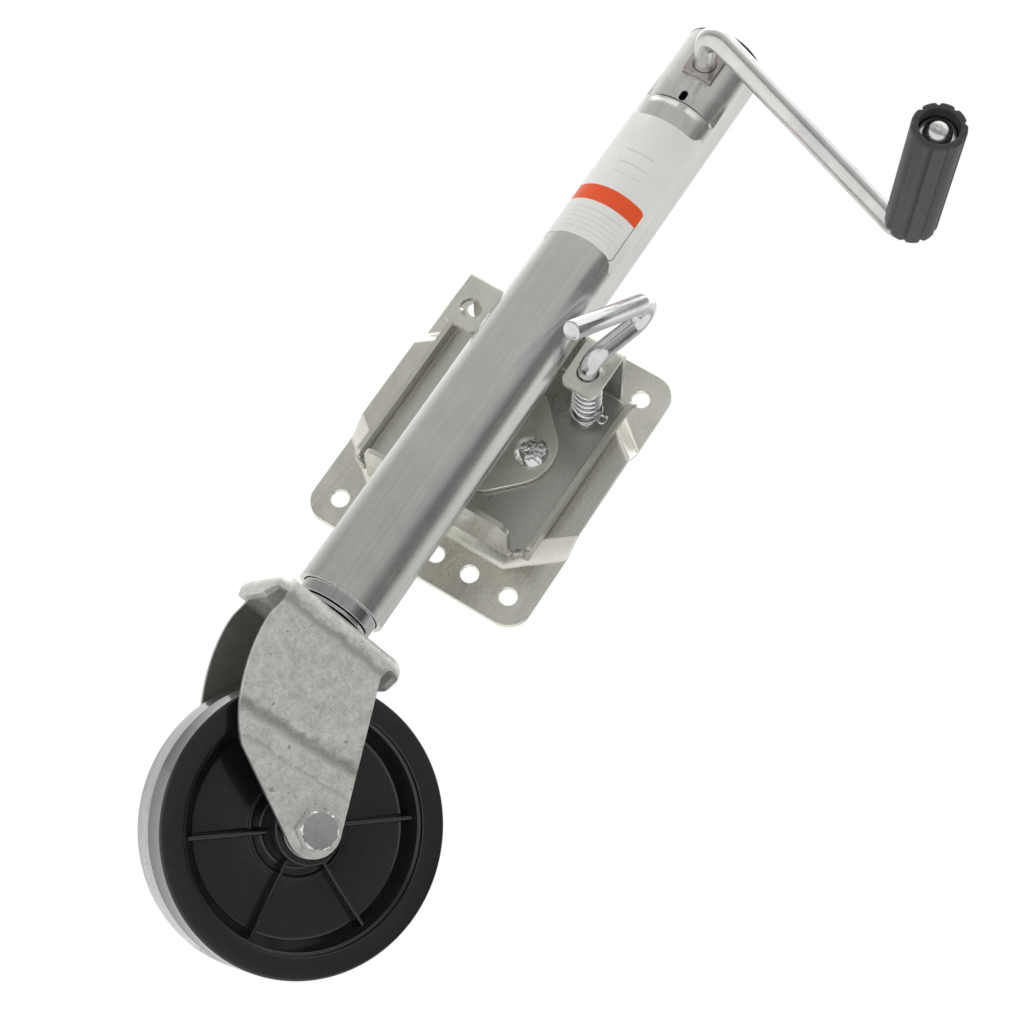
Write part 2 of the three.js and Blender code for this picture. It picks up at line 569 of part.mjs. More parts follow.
function casterFork() {
  const { top, sheet, halfLong, halfWide, lip, lipHalf } = CROWN;
  const crown = plateXY(rounded([[-halfLong, -lipHalf, 2], [-35, -halfWide, 3], [31, -halfWide, 3],
    [halfLong, -lipHalf, 2], [halfLong, lipHalf, 2], [31, halfWide, 3], [-35, halfWide, 3],
    [-halfLong, lipHalf, 2]]), top - sheet, top, 6);
  const lips = [-1, 1].map((s) => {
    const [x0, x1] = [s * (halfLong - sheet), s * halfLong].sort((a, b) => a - b);
    return block(x0, x1, -lipHalf + 1, lipHalf - 1, top - lip, top);
  });
  const legs = [-halfWide + sheet, halfWide].map((back) => plateXZ(forkLegOutline(), back, sheet, 8));
  const axleHole = rodY(AXLE.r + 0.3, AXLE.x, AXLE.z, -halfWide - 1, halfWide + 1, 20);
  return cut(join(crown, ...lips, ...legs), axleHole, rod(7.4, top - 10, top + 5, 20));
}

const lowerSwivelRace = () => ring(7.4, 18.5, CROWN.top + 0.2, CROWN.top + 2.2, 30);

// ---------------------------------------------------------------- axle
const atAxle = (shape) => alongY(shape, AXLE.x, AXLE.z);
const axleBolt = () => {
  const seat = CROWN.halfWide + 0.3;
  return atAxle(join(rod(AXLE.r, -48, seat + 1, 18), rod(9, seat, seat + 0.8, 20),
    plateXY(hexagon(18.6), seat + 0.6, seat + 7.8)));
};
const axleNut = () => {
  const seat = -CROWN.halfWide - 0.3;
  return atAxle(cut(join(plateXY(hexagon(18.6), seat - 8.5, seat),
    rod(8.2, seat - 11.5, seat - 8, 20)), rod(AXLE.r + 0.2, -60, 0, 18)));
};
const axleSleeve = () => atAxle(ring(AXLE.r + 0.3, WHEEL.bore - 0.3, -29, 29, 20));
const hubWasher = (side) => atAxle(ring(WHEEL.bore - 0.1, 15, side > 0 ? 26.8 : -28.8,
  side > 0 ? 28.8 : -26.8, 20));

// ---------------------------------------------------------------- wheel
function casterWheel() {
  const { r, half, hubR, hubHalf, bore, ribAngle } = WHEEL;
  const oneSide = [[bore, hubHalf], [hubR, hubHalf], [hubR + 2.5, 8], [56.5, 8], [59, 13],
    [64.5, half], [r - 4.5, half], [r - 1.4, half - 2.4], [r, half - 7.5]];
  const profile = [...oneSide, ...oneSide.map(([radius, h]) => [radius, -h]).reverse()];
  const disc = turned(profile, 48);
  const ribs = [0, 1, 2, 3, 4, 5].map((k) => block(hubR - 1, 60.5, -1.8, 1.8, -16.5, 16.5)
    .rotate([0, 0, ribAngle + 60 * k]));
  return atAxle(join(disc, ...ribs));
}

// ---------------------------------------------------------------- assembly
piece('mount_plate', mountPlate(), ZINC);
piece('pivot_hub_ring', hubRing(), STEEL);
piece('retainer_plate', retainerPlate(), ZINC);
piece('retainer_rivet_right', retainerRivet(RIVET.x), BRIGHT);
piece('retainer_rivet_left', retainerRivet(-RIVET.x), BRIGHT);

const swing = new THREE.Group();
jack.add(swing);
piece('swivel_bracket', swivelBracket(), ZINC, swing);
piece('outer_tube', outerTube(), ZINC, swing);
piece('top_cap', topCap(), BLACK, swing);
piece('label', labelSheet(), STICKER, swing);
piece('crank_bush_front', squareBush(), STEEL, swing);
piece('crank_bush_rear', rearBush(), STEEL, swing);
piece('bearing_plate', bearingPlate(), STEEL, swing);
piece('thrust_race_lower', lowerRace(), STEEL, swing);
piece('lock_pin', lockPin(), BRIGHT, swing);
piece('lock_pin_washer', lockPinWasher(), BRIGHT, swing);
piece('lock_pin_cotter', splitPin(), BRIGHT, swing);
piece('lock_spring', lockSpring(), BRIGHT, swing);

const drive = new THREE.Group();
swing.add(drive);
piece('crank_rod', crankRod(), BRIGHT, drive);
piece('grip_washer', gripWasher(), BRIGHT, drive);
piece('crank_grip', grip(), GREY, drive);
piece('crank_pinion', crankPinion(), STEEL, drive);
piece('pinion_pin', pinionPin(), STEEL, drive);
piece('screw_gear', screwGear(), STEEL, drive);
piece('gear_pin', gearPin(), STEEL, drive);
piece('lead_screw', leadScrew(), STEEL, drive);
piece('thrust_race_upper', upperRace(), STEEL, drive);
piece('screw_stop', screwStop(), STEEL, drive);
piece('screw_stop_pin', stopPin(), STEEL, drive);

const leg = new THREE.Group();
swing.add(leg);
piece('inner_tube', innerTube(), ZINC, leg);
piece('screw_nut', screwNut(), STEEL, leg);
piece('leg_end_plug', legPlug(), STEEL, leg);
piece('king_pin', kingPin(), STEEL, leg);
piece('swivel_washer', swivelWasher(), BRIGHT, leg);

// The caster stands turned about the leg's axis.
const caster = new THREE.Group();
caster.position.set(0, TUBE.y, 0);
caster.rotation.z = SWIVEL_ANGLE;
leg.add(caster);
piece('caster_fork', casterFork(), CAST_ZINC, caster);
piece('swivel_race', lowerSwivelRace(), STEEL, caster);
piece('axle_bolt', axleBolt(), BRIGHT, caster);
piece('axle_nut', axleNut(), BRIGHT, caster);
piece('axle_sleeve', axleSleeve(), STEEL, caster);
piece('hub_washer_near', hubWasher(1), STEEL, caster);
piece('hub_washer_far', hubWasher(-1), STEEL, caster);
piece('caster_wheel', casterWheel(), BLACK, caster);

export default jack;
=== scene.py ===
"""Looks for the trailer tongue jack: finer meshes, procedural materials, light and camera.

Shapes are written in millimetres in the part's own frame: +Z up the leg, -Y towards the crank.
"""
import json
import math

import bmesh
import bpy
from mathutils import Matrix, Vector, noise
from mathutils.geometry import delaunay_2d_cdt


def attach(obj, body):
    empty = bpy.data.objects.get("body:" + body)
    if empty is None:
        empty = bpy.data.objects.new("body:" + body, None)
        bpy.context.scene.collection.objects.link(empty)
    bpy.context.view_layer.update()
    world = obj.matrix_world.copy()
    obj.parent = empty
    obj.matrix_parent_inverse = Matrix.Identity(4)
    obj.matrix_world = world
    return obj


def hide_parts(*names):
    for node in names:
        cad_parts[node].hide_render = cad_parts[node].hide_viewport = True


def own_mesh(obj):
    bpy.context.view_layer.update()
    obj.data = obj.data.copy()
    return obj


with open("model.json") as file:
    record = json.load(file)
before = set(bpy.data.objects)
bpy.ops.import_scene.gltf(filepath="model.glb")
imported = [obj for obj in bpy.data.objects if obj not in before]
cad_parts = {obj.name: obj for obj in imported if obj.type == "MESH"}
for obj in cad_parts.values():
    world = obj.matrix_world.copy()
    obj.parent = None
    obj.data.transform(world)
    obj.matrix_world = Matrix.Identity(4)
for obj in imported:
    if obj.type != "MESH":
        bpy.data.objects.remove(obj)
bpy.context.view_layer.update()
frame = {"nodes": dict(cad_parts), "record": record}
SLOTS = {s["node"]: s["material_slot"] for s in frame["record"]["subparts"]}

MM = 0.001
TAU = 2 * math.pi

# ---- sizes shared by pieces
SHEET = 3.0
TUBE_Y = -75.5
TUBE_R = 25.4
TUBE_WALL = 2.5
TUBE_Z = (-148.0, 252.5)
CRANK_Z = 227.5
ROD_R = 6.7
PIN_XZ = 38.3  # the lock pin's distance from the pivot, in X and in Z
PIN_R = 5.6
PIN_HOLE = 6.4
BOLT_HOLE = 5.3
RIVET_X = 25.0
CRADLE_R = 25.8  # the bracket's cut-outs that hold the tube
SWIVEL = math.radians(31.6)
CROWN_TOP = -160.0
FORK_SHEET = 3.5
AXLE = (48.0, -256.3)
FLOOR_BACK = -13.4
RETAINER_BACK = -17.1
EAR_FRONT = -70.2


# ---- outlines
def corner_arc(previous, here, following, radius):
    """Centre of the arc that rounds a corner, and the ways from there to its two ends."""
    before, after = (previous - here).normalized(), (following - here).normalized()
    half = before.angle(after) / 2
    centre = here + (before + after).normalized() * (radius / math.sin(half))
    reach = radius / math.tan(half)
    return centre, here + before * reach - centre, here + after * reach - centre


def fillet(corners, closed=True, step=12):
    """Points of a line through (x, y, radius) corners, with an arc at each rounded one."""
    out = []
    places = [Vector(corner[:2]) for corner in corners]
    count = len(corners)
    for i, (x, y, radius) in enumerate(corners):
        if radius <= 0 or (not closed and i in (0, count - 1)):
            out.append((x, y))
            continue
        centre, start, stop = corner_arc(places[i - 1], places[i], places[(i + 1) % count], radius)
        turn = start.angle_signed(stop)
        parts = max(2, math.ceil(abs(math.degrees(turn)) / step))
        out += [tuple(centre + Matrix.Rotation(-turn * k / parts, 2) @ start) for k in range(parts + 1)]
    return out


def arc(x, y, radius, start, stop, steps):
    """Points of an arc between two angles, with both its ends."""
    angles = [start + (stop - start) * k / steps for k in range(steps + 1)]
    return [(x + radius * math.cos(a), y + radius * math.sin(a)) for a in angles]


def circle(x, y, radius, segments=40):
    return arc(x, y, radius, 0.0, TAU, segments)[:-1]


def rectangle(x0, x1, y0, y1, radius):
    return fillet([(x0, y0, radius), (x1, y0, radius), (x1, y1, radius), (x0, y1, radius)])


def inside(point, loop):
    """True when a 2-D point is inside a closed loop."""
    x, y = point
    hit = False
    for (x0, y0), (x1, y1) in zip(loop, loop[1:] + loop[:1]):
        if (y0 > y) != (y1 > y) and x < (x1 - x0) * (y - y0) / (y1 - y0) + x0:
            hit = not hit
    return hit


RIM_CLEAR = 0.7  # grid points nearer than this to an outline are left out


def fill(outline, holes=(), grid=(), creases=()):
    """Triangles over a 2-D outline with holes, through extra grid points and crease lines."""
    points, edges = [], []
    for path, closed in [(rim, True) for rim in (outline, *holes)] + [(c, False) for c in creases]:
        first = len(points)
        points += [Vector(p) for p in path]
        last = len(points) - 1
        edges += [(k, k + 1) for k in range(first, last)]
        if closed:
            edges.append((last, first))
    rim = [Vector(p) for path in (outline, *holes) for p in path]
    for p in grid:
        if inside(p, outline) and not any(inside(p, h) for h in holes):
            if all(abs(q.x - p[0]) > RIM_CLEAR or abs(q.y - p[1]) > RIM_CLEAR for q in rim):
                points.append(Vector(p))
    made = delaunay_2d_cdt(points, edges, [], 0, 0.02)
    flat, triangles = made[0], []
    for face in made[2]:
        middle = sum((flat[k] for k in face), Vector((0, 0))) / len(face)
        if inside(middle, outline) and not any(inside(middle, h) for h in holes):
            triangles.append(tuple(face))
    return [tuple(p) for p in flat], triangles


def lattice(x0, x1, y0, y1, step_x, step_y=None):
    step_y = step_y or step_x
    columns = max(1, round((x1 - x0) / step_x))
    rows = max(1, round((y1 - y0) / step_y))
    return [(x0 + (x1 - x0) * (i + 0.5) / columns, y0 + (y1 - y0) * (j + 0.5) / rows)
            for i in range(columns) for j in range(rows)]


# ---- solids as (points, faces)
def thicken(sheet, front, back):
    """A closed body between two surfaces over the same flat triangles, as fill() gives them."""
    flat, triangles = sheet
    count = len(flat)
    points = [front(*p) for p in flat] + [back(*p) for p in flat]
    faces = list(triangles) + [tuple(k + count for k in reversed(t)) for t in triangles]
    used = {}
    for t in triangles:
        for a, b in zip(t, t[1:] + t[:1]):
            used[(a, b)] = True
    for a, b in used:
        if (b, a) not in used:
            faces.append((b, a, a + count, b + count))
    return points, faces


def slab(outline, holes, y_back, thick, step=4.0):
    """A flat sheet in the XZ plane, from its back face towards -Y, over a grid if step isn't 0."""
    across, up = zip(*outline)
    grid = lattice(min(across), max(across), min(up), max(up), step) if step else ()
    sheet = fill(outline, holes, grid)
    return thicken(sheet, lambda x, z: (x, y_back - thick, z), lambda x, z: (x, y_back, z))


def bands(rows, count, columns, closed=False):
    """Quads between neighbouring rows of count points, and back to the first row if closed.

    columns are the points of a row that start a quad.
    """
    faces = []
    for i in range(rows if closed else rows - 1):
        here, above = i * count, (i + 1) % rows * count
        for k in columns:
            m = (k + 1) % count
            faces.append((here + k, here + m, above + m, above + k))
    return faces


def lathe(profile, segments, closed=False):
    """A body of revolution about Z from (radius, height) pairs."""
    points, faces = [], []
    count = len(profile)
    for i in range(segments):
        turn = TAU * i / segments
        points += [(r * math.cos(turn), r * math.sin(turn), h) for r, h in profile]
    for i in range(segments):
        j = (i + 1) % segments
        for k in range(count if closed else count - 1):
            m = (k + 1) % count
            faces.append((i * count + k, j * count + k, j * count + m, i * count + m))
    return points, faces


def turned(corners, segments, closed=False, step=12):
    """A body of revolution about Z from (radius, height, rounding) corners."""
    return lathe(fillet(corners, closed, step), segments, closed)


def ring(inner, outer, low, high, rounding, segments):
    """A washer or tube about Z; rounding is the radius at its inner edges and at its outer ones."""
    bore, rim = rounding
    corners = [(inner, low, bore), (outer, low, rim), (outer, high, rim), (inner, high, bore)]
    return turned(corners, segments, closed=True)


def divided(stretches):
    """Points along (start, end, parts) stretches, each cut into equal parts, without the last end."""
    return [(a[0] + (b[0] - a[0]) * k / parts, a[1] + (b[1] - a[1]) * k / parts)
            for a, b, parts in stretches for k in range(parts)]


def sweep(path, radius, sides):
    """A round bar along a path; radius is a number or a function of the point's index."""
    path = [Vector(p) for p in path]
    points = []
    tangents = [(path[min(i + 1, len(path) - 1)] - path[max(i - 1, 0)]).normalized()
                for i in range(len(path))]
    across = tangents[0].orthogonal().normalized()
    for i, (here, along) in enumerate(zip(path, tangents)):
        across = (across - along * across.dot(along)).normalized()
        other = along.cross(across)
        r = radius(i) if callable(radius) else radius
        for k in range(sides):
            turn = TAU * k / sides
            points.append(tuple(here + across * (r * math.cos(turn)) + other * (r * math.sin(turn))))
    faces = bands(len(path), sides, range(sides))
    faces.append(tuple(reversed(range(sides))))
    faces.append(tuple(range(len(points) - sides, len(points))))
    return points, faces


def bend_path(corners, radii, step):
    """A 3-D line through the corners with an arc of the given radius at each inner one."""
    corners = [Vector(c) for c in corners]
    out = [corners[0]]
    for i, radius in enumerate(radii):
        centre, start, stop = corner_arc(*corners[i:i + 3], radius)
        turn, pivot = start.angle(stop), start.cross(stop)
        parts = max(3, math.ceil(math.degrees(turn) / step))
        out += [centre + Matrix.Rotation(turn * k / parts, 3, pivot) @ start for k in range(parts + 1)]
    out.append(corners[-1])
    return out


class Fold:
    """A bent sheet's outer line: finds the point and outward normal at a distance along it."""

    def __init__(self, corners):
        self.line = [Vector(p) for p in fillet(corners, closed=False, step=8)]
        steps = [b - a for a, b in zip(self.line, self.line[1:])]
        self.at_start = [0.0]
        for step in steps:
            self.at_start.append(self.at_start[-1] + step.length)
        self.along = [(a.normalized() + b.normalized()).normalized()
                      for a, b in zip(steps[:1] + steps, steps + steps[-1:])]

    def place(self, s):
        i = 0
        while i < len(self.line) - 2 and self.at_start[i + 1] < s:
            i += 1
        t = (s - self.at_start[i]) / max(self.at_start[i + 1] - self.at_start[i], 1e-9)
        along = self.along[i].lerp(self.along[i + 1], min(max(t, 0.0), 1.0)).normalized()
        return self.line[i].lerp(self.line[i + 1], t), Vector((-along.y, along.x))


# ---- making objects
def shifted(shape, matrix):
    points, faces = shape
    return [tuple(matrix @ Vector(p)) for p in points], faces


def along_y(shape, x=0.0, z=0.0):
    """Lays a body made about +Z down: its +Z end then points towards -Y."""
    return shifted(shape, Matrix.Translation((x, 0, z)) @ Matrix.Rotation(math.pi / 2, 4, "X"))


CASTER = Matrix.Translation((0, TUBE_Y, 0)) @ Matrix.Rotation(SWIVEL, 4, "Z")


def at_axle(shape):
    return shifted(along_y(shape, AXLE[0], AXLE[1]), CASTER)


def merged(*shapes):
    points, faces = [], []
    for more_points, more_faces in shapes:
        first = len(points)
        points += more_points
        faces += [tuple(k + first for k in face) for face in more_faces]
    return points, faces


def add_object(name, data):
    obj = bpy.data.objects.new(name, data)
    bpy.context.scene.collection.objects.link(obj)
    return obj


def piece(name, shape, material, body, stands_for=(), bevel=0.0, sharp=35, plain=None):
    """Makes one named piece from a shape in millimetres, with its sharp edges rounded over."""
    points, faces = shape
    mesh = bpy.data.meshes.new(name)
    mesh.from_pydata([[c * MM for c in p] for p in points], [], faces)
    bm = bmesh.new()
    bm.from_mesh(mesh)
    bmesh.ops.delete(bm, geom=[v for v in bm.verts if not v.link_faces], context="VERTS")
    bmesh.ops.remove_doubles(bm, verts=bm.verts, dist=2e-6)
    bmesh.ops.recalc_face_normals(bm, faces=bm.faces)
    weight = bm.edges.layers.float.new("bevel_weight_edge")
    for edge in bm.edges:
        crisp = len(edge.link_faces) != 2 or edge.calc_face_angle(0) > math.radians(sharp)
        middle = (edge.verts[0].co + edge.verts[1].co) / (2 * MM)
        rounded = bevel and crisp and len(edge.link_faces) == 2 and not (plain and plain(middle))
        edge[weight] = 1.0 if rounded else 0.0
        edge.smooth = bool(rounded) or not crisp
    for face in bm.faces:
        face.smooth = True
    bm.to_mesh(mesh)
    bm.free()
    obj = add_object(name, mesh)
    mesh.materials.append(material)
    if bevel:
        # the rounded edges take the lighter _edge material: a painted edge highlight, with some rubbed wear
        mesh.materials.append(MATERIALS.get(f"{material.name}_edge", material))
        rounding = obj.modifiers.new("edges", "BEVEL")
        rounding.width = bevel * MM
        rounding.segments = 3
        rounding.limit_method = "WEIGHT"
        rounding.material = 1
        shading = obj.modifiers.new("shading", "WEIGHTED_NORMAL")
        shading.weight = 90
        shading.keep_sharp = True
        settle(obj)
    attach(obj, body)
    if stands_for:
        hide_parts(*stands_for)
    return obj


def fine(node, shape, material, body, **looks):
    """The finer mesh that stands for one CAD node."""
    return piece(f"{node}_fine", shape, MATERIALS[material], body, [node], **looks)


def settle(obj):
    """Applies the object's modifiers."""
    depsgraph = bpy.context.evaluated_depsgraph_get()
    done = bpy.data.meshes.new_from_object(obj.evaluated_get(depsgraph))
    obj.modifiers.clear()
    obj.data = done


# ---- material helpers
class Nodes:
    """A short way to write a node tree."""

    def __init__(self, tree, space):
        self.tree = tree
        self.coords = self.add("ShaderNodeTexCoord").outputs[space]

    def add(self, kind, **values):
        node = self.tree.nodes.new(kind)
        for key, value in values.items():
            setattr(node, key, value)
        return node

    def link(self, source, target):
        self.tree.links.new(source, target)

    def axes(self):
        split = self.add("ShaderNodeSeparateXYZ")
        self.link(self.coords, split.inputs[0])
        return [split.outputs[axis] for axis in "XYZ"]

    def scaled(self, scale):
        """Object coordinates stretched by scale, per metre."""
        mapping = self.add("ShaderNodeMapping")
        mapping.inputs["Scale"].default_value = scale
        self.link(self.coords, mapping.inputs["Vector"])
        return mapping.outputs["Vector"]

    def noise(self, scale, detail=3.0, rough=0.55, vector=None):
        node = self.add("ShaderNodeTexNoise")
        node.inputs["Scale"].default_value = scale
        node.inputs["Detail"].default_value = detail
        node.inputs["Roughness"].default_value = rough
        self.link(vector or self.coords, node.inputs["Vector"])
        return node.outputs["Fac"]

    def remap(self, value, low, high, to_low, to_high):
        node = self.add("ShaderNodeMapRange")
        limits = {"From Min": low, "From Max": high, "To Min": to_low, "To Max": to_high}
        for key, number in limits.items():
            node.inputs[key].default_value = number
        self.link(value, node.inputs["Value"])
        return node.outputs["Result"]

    def feed(self, socket, value):
        """Gives a socket a link or a plain value."""
        if isinstance(value, bpy.types.NodeSocket):
            self.link(value, socket)
        else:
            socket.default_value = value

    def mix(self, factor, a, b, blend="MIX"):
        node = self.add("ShaderNodeMix", data_type="RGBA", blend_type=blend)
        for place, value in ((0, factor), (6, a), (7, b)):
            self.feed(node.inputs[place], value)
        return node.outputs[2]

    def math(self, operation, *values):
        node = self.add("ShaderNodeMath", operation=operation)
        for socket, value in zip(node.inputs, values):
            self.feed(socket, value)
        return node.outputs[0]

    def times(self, a, b):
        return self.math("MULTIPLY", a, b)

    def plus(self, a, b):
        return self.math("ADD", a, b)

    def minus(self, a, b):
        return self.math("SUBTRACT", a, b)


class Paint(Nodes):
    """A material, over the object's own coordinates."""

    def __init__(self, name):
        self.material = bpy.data.materials.new(name)
        self.material.use_nodes = True
        super().__init__(self.material.node_tree, "Object")
        self.shader = self.tree.nodes["Principled BSDF"]

    def bump(self, height, strength, distance):
        """Adds relief, over any relief already there; distance is in millimetres."""
        node = self.add("ShaderNodeBump")
        node.inputs["Strength"].default_value = strength
        node.inputs["Distance"].default_value = distance * MM
        self.link(height, node.inputs["Height"])
        normal = self.shader.inputs["Normal"]
        if normal.is_linked:
            self.link(normal.links[0].from_socket, node.inputs["Normal"])
        self.link(node.outputs["Normal"], normal)

    def set(self, **values):
        for key, value in values.items():
            self.feed(self.shader.inputs[key.replace("_", " ")], value)


def rgb(r, g, b):
    return (r, g, b, 1.0)


def zinc(name, light, dark, rough, grain=(1, 1, 1), mottle=0.5, scratch=0.1, wave=0.0, metallic=1.0,
         painted_shade=None):
    """Plated steel: cloudy colour, fine grain along one direction and, on sheet, slow waves and, where given,
    painted shade by depth.
    """
    n = Paint(name)
    cloud = n.noise(38.0, 5.0, 0.6)
    fine_grain = n.noise(900.0, 2.0, 0.5)
    lines = n.noise(220.0, 4.0, 0.7, n.scaled(grain))
    both = n.plus(n.times(cloud, mottle), n.times(lines, 1 - mottle))
    colour = n.mix(n.remap(both, 0.36, 0.64, 0.0, 1.0), rgb(*dark), rgb(*light))
    if scratch > 0.07:
        pits = n.remap(n.noise(520.0, 3.0, 0.6), 0.68, 0.76, 0.0, 0.4)
        colour = n.mix(pits, colour, rgb(*[0.5 * c for c in dark]))
    if painted_shade:
        # painted shade: darker from the near depth to the far one, over the bracket's hollow and the plate's
        # raised middle, and less so towards the left, where it stands for the bright room's reflection
        near, far, shade_level = painted_shade
        x, y, _ = n.axes()
        side = n.remap(x, -30 * MM, 20 * MM, 0.35, 1.0)
        deep = n.remap(y, near * MM, far * MM, 0.0, 1.0)
        colour = n.mix(n.times(deep, side), colour, rgb(*[shade_level * c for c in light]))
    gloss = n.remap(n.plus(lines, n.times(cloud, 0.6)), 0.5, 1.1, rough - 0.05, rough + 0.09)
    n.set(Base_Color=colour, Roughness=gloss, Metallic=metallic)
    if wave:
        n.bump(n.noise(13.0, 1.0, 0.4), 1.0, wave)
    n.bump(n.plus(n.times(lines, 0.8), n.times(fine_grain, 0.4)), scratch, 0.1)
    return n.material


def fork_zinc():
    """Matt mottled zinc, with the rubbed streaks that cross the fork's legs, a painted dark reflection just
    under the crown's bend, and painted shade on the legs' inner faces.
    """
    n = Paint("matt_zinc")
    cloud = n.noise(140.0, 6.0, 0.7)
    speck = n.noise(520.0, 4.0, 0.75)
    both = n.plus(n.times(cloud, 0.5), n.times(speck, 0.5))
    colour = n.mix(n.remap(both, 0.40, 0.60, 0.0, 1.0), rgb(0.56, 0.57, 0.535), rgb(0.80, 0.81, 0.765))
    x, y, z = n.axes()
    # distance from the fork's middle plane: its legs' outer faces lie 33 mm away, inner ones 29.5 mm
    side = n.math("ABSOLUTE", n.minus(n.times(x, math.sin(SWIVEL)),
                                      n.times(n.minus(y, TUBE_Y * MM), math.cos(SWIVEL))))
    outer = n.remap(side, 31.2 * MM, 31.8 * MM, 0.0, 1.0)
    # painted shade: the legs' inner faces, which face the wheel, go dark from just below the crown's bend
    # downwards
    inner = n.times(n.remap(side, 28.2 * MM, 29.0 * MM, 0.0, 1.0), n.minus(1.0, outer))
    inner = n.times(inner, n.remap(z, -174 * MM, -170 * MM, 0.8, 0.0))
    wander = n.times(n.minus(cloud, 0.5), 10 * MM)
    # each streak's height, slope, width and strength; the two low ones are rubbed marks, and the one at
    # -171.5, just under the crown's bend, is a painted dark reflection
    for height, slope, width, strength in ((-227.5, 0.12, 4.5, 0.75), (-241.5, 0.12, 1.6, 0.3),
                                           (-171.5, 0.0, 3.5, 0.6)):
        level = n.minus(n.plus(z, wander), n.times(x, slope))
        away = n.math("ABSOLUTE", n.minus(level, height * MM))
        streak = n.times(n.remap(away, 0.2 * width * MM, width * MM, strength, 0.0),
                         n.remap(speck, 0.3, 0.6, 0.5, 1.0))
        colour = n.mix(n.times(streak, outer), colour, rgb(0.20, 0.205, 0.195))
    pits = n.remap(n.noise(240.0, 3.0, 0.6), 0.66, 0.72, 0.0, 0.6)
    colour = n.mix(pits, colour, rgb(0.17, 0.17, 0.16))
    colour = n.mix(inner, colour, rgb(0.10, 0.10, 0.09))
    n.set(Base_Color=colour, Metallic=0.7, Roughness=n.remap(speck, 0.3, 0.7, 0.36, 0.56))
    n.bump(n.noise(30.0, 1.0, 0.4), 1.0, 0.5)
    n.bump(speck, 0.3, 0.12)
    return n.material


def plastic(name, base, worn, rough, coat, bump):
    n = Paint(name)
    speck = n.noise(260.0, 4.0, 0.65)
    dust = n.remap(n.noise(45.0, 4.0, 0.6), 0.45, 0.75, 0.0, 0.5)
    gloss = n.remap(speck, 0.3, 0.7, rough - 0.05, rough + 0.08)
    n.set(Base_Color=n.mix(dust, rgb(*base), rgb(*worn)), Roughness=gloss, Coat_Weight=coat,
          Coat_Roughness=0.06)
    n.bump(speck, bump, 0.1)
    return n.material


def sticker():
    """White vinyl: a plain field over a framed panel with an orange head; it has no lettering."""
    n = Paint("sticker")
    x, _, z = n.axes()

    def panel(x0, x1, z0, z1, corner):
        """1 inside a rectangle with rounded corners, given in millimetres."""
        squares = []
        for value, low, high in ((x, x0, x1), (z, z0, z1)):
            off = n.math("ABSOLUTE", n.minus(value, (low + high) / 2 * MM))
            past = n.math("MAXIMUM", n.minus(off, ((high - low) / 2 - corner) * MM), 0.0)
            squares.append(n.times(past, past))
        return n.remap(n.math("SQRT", n.plus(*squares)), (corner - 0.12) * MM, corner * MM, 1.0, 0.0)
    paper = n.mix(n.remap(n.noise(30.0), 0.4, 0.7, 0.0, 1.0), rgb(0.90, 0.895, 0.88),
                  rgb(0.95, 0.945, 0.935))
    whole = panel(-30, 19.2, 92.5, 129.5, 2.5)
    within = panel(-30, 18.8, 92.9, 129.1, 2.1)
    head = n.times(whole, n.remap(z, 118.4 * MM, 118.6 * MM, 0.0, 1.0))
    colour = n.mix(n.times(n.minus(whole, within), 0.85), paper, rgb(0.1, 0.1, 0.1))
    # thin rules: long ones in the framed panel and short ones above it
    for low, high in ((112.6, 113.3), (108.9, 109.4), (105.6, 106.1), (102.3, 102.8), (99.0, 99.5),
                      (157, 158), (148.5, 149.3), (141.5, 142.0)):
        reach = 16.0 if low < 130 else 9.5
        rule = panel(-reach, reach - 1, low, high, 0.2)
        colour = n.mix(n.times(rule, 0.3), colour, rgb(0.25, 0.25, 0.25))
    colour = n.mix(head, colour, rgb(0.95, 0.10, 0.018))
    n.set(Base_Color=colour, Roughness=n.remap(n.noise(300.0), 0.3, 0.7, 0.34, 0.44))
    n.bump(n.noise(500.0, 2.0), 0.04, 0.05)
    return n.material


SHEET_LOOK = ((1, 1, 0.15), 0.7, 0.03, 0.9)
# light and dark colour, roughness, grain, mottle and scratch; sheets add wave, metallic and painted shade as
# near depth, far depth and shade level, which paints the bracket's hollow and the plate's raised middle
# darker
ZINC = {
    "zinc_sheet": ((0.84, 0.83, 0.765), (0.68, 0.675, 0.61), 0.28, *SHEET_LOOK, 0.8, (-68, -56, 0.62)),
    "plate_zinc": ((0.88, 0.865, 0.80), (0.70, 0.69, 0.62), 0.26, *SHEET_LOOK, 0.85, (-4, -11, 0.68)),
    "disc_zinc": ((0.82, 0.81, 0.745), (0.66, 0.655, 0.59), 0.3, *SHEET_LOOK, 0.8),
    "zinc_tube": ((0.73, 0.73, 0.715), (0.61, 0.615, 0.605), 0.22, (1, 1, 0.02), 0.45, 0.05),
    "bright_zinc": ((0.80, 0.805, 0.81), (0.62, 0.63, 0.65), 0.12, (1, 1, 1), 0.7, 0.03),
    "rod_zinc": ((0.76, 0.765, 0.755), (0.60, 0.605, 0.60), 0.17, (1, 1, 1), 0.8, 0.0),
    "plain_steel": ((0.44, 0.45, 0.45), (0.33, 0.335, 0.34), 0.33, (1, 1, 0.3), 0.5, 0.1),
    "bush_steel": ((0.55, 0.50, 0.49), (0.40, 0.365, 0.36), 0.2, (1, 1, 1), 0.6, 0.06),
    "leg_steel": ((0.72, 0.73, 0.72), (0.50, 0.51, 0.51), 0.13, (1, 1, 0.03), 0.4, 0.03),
}
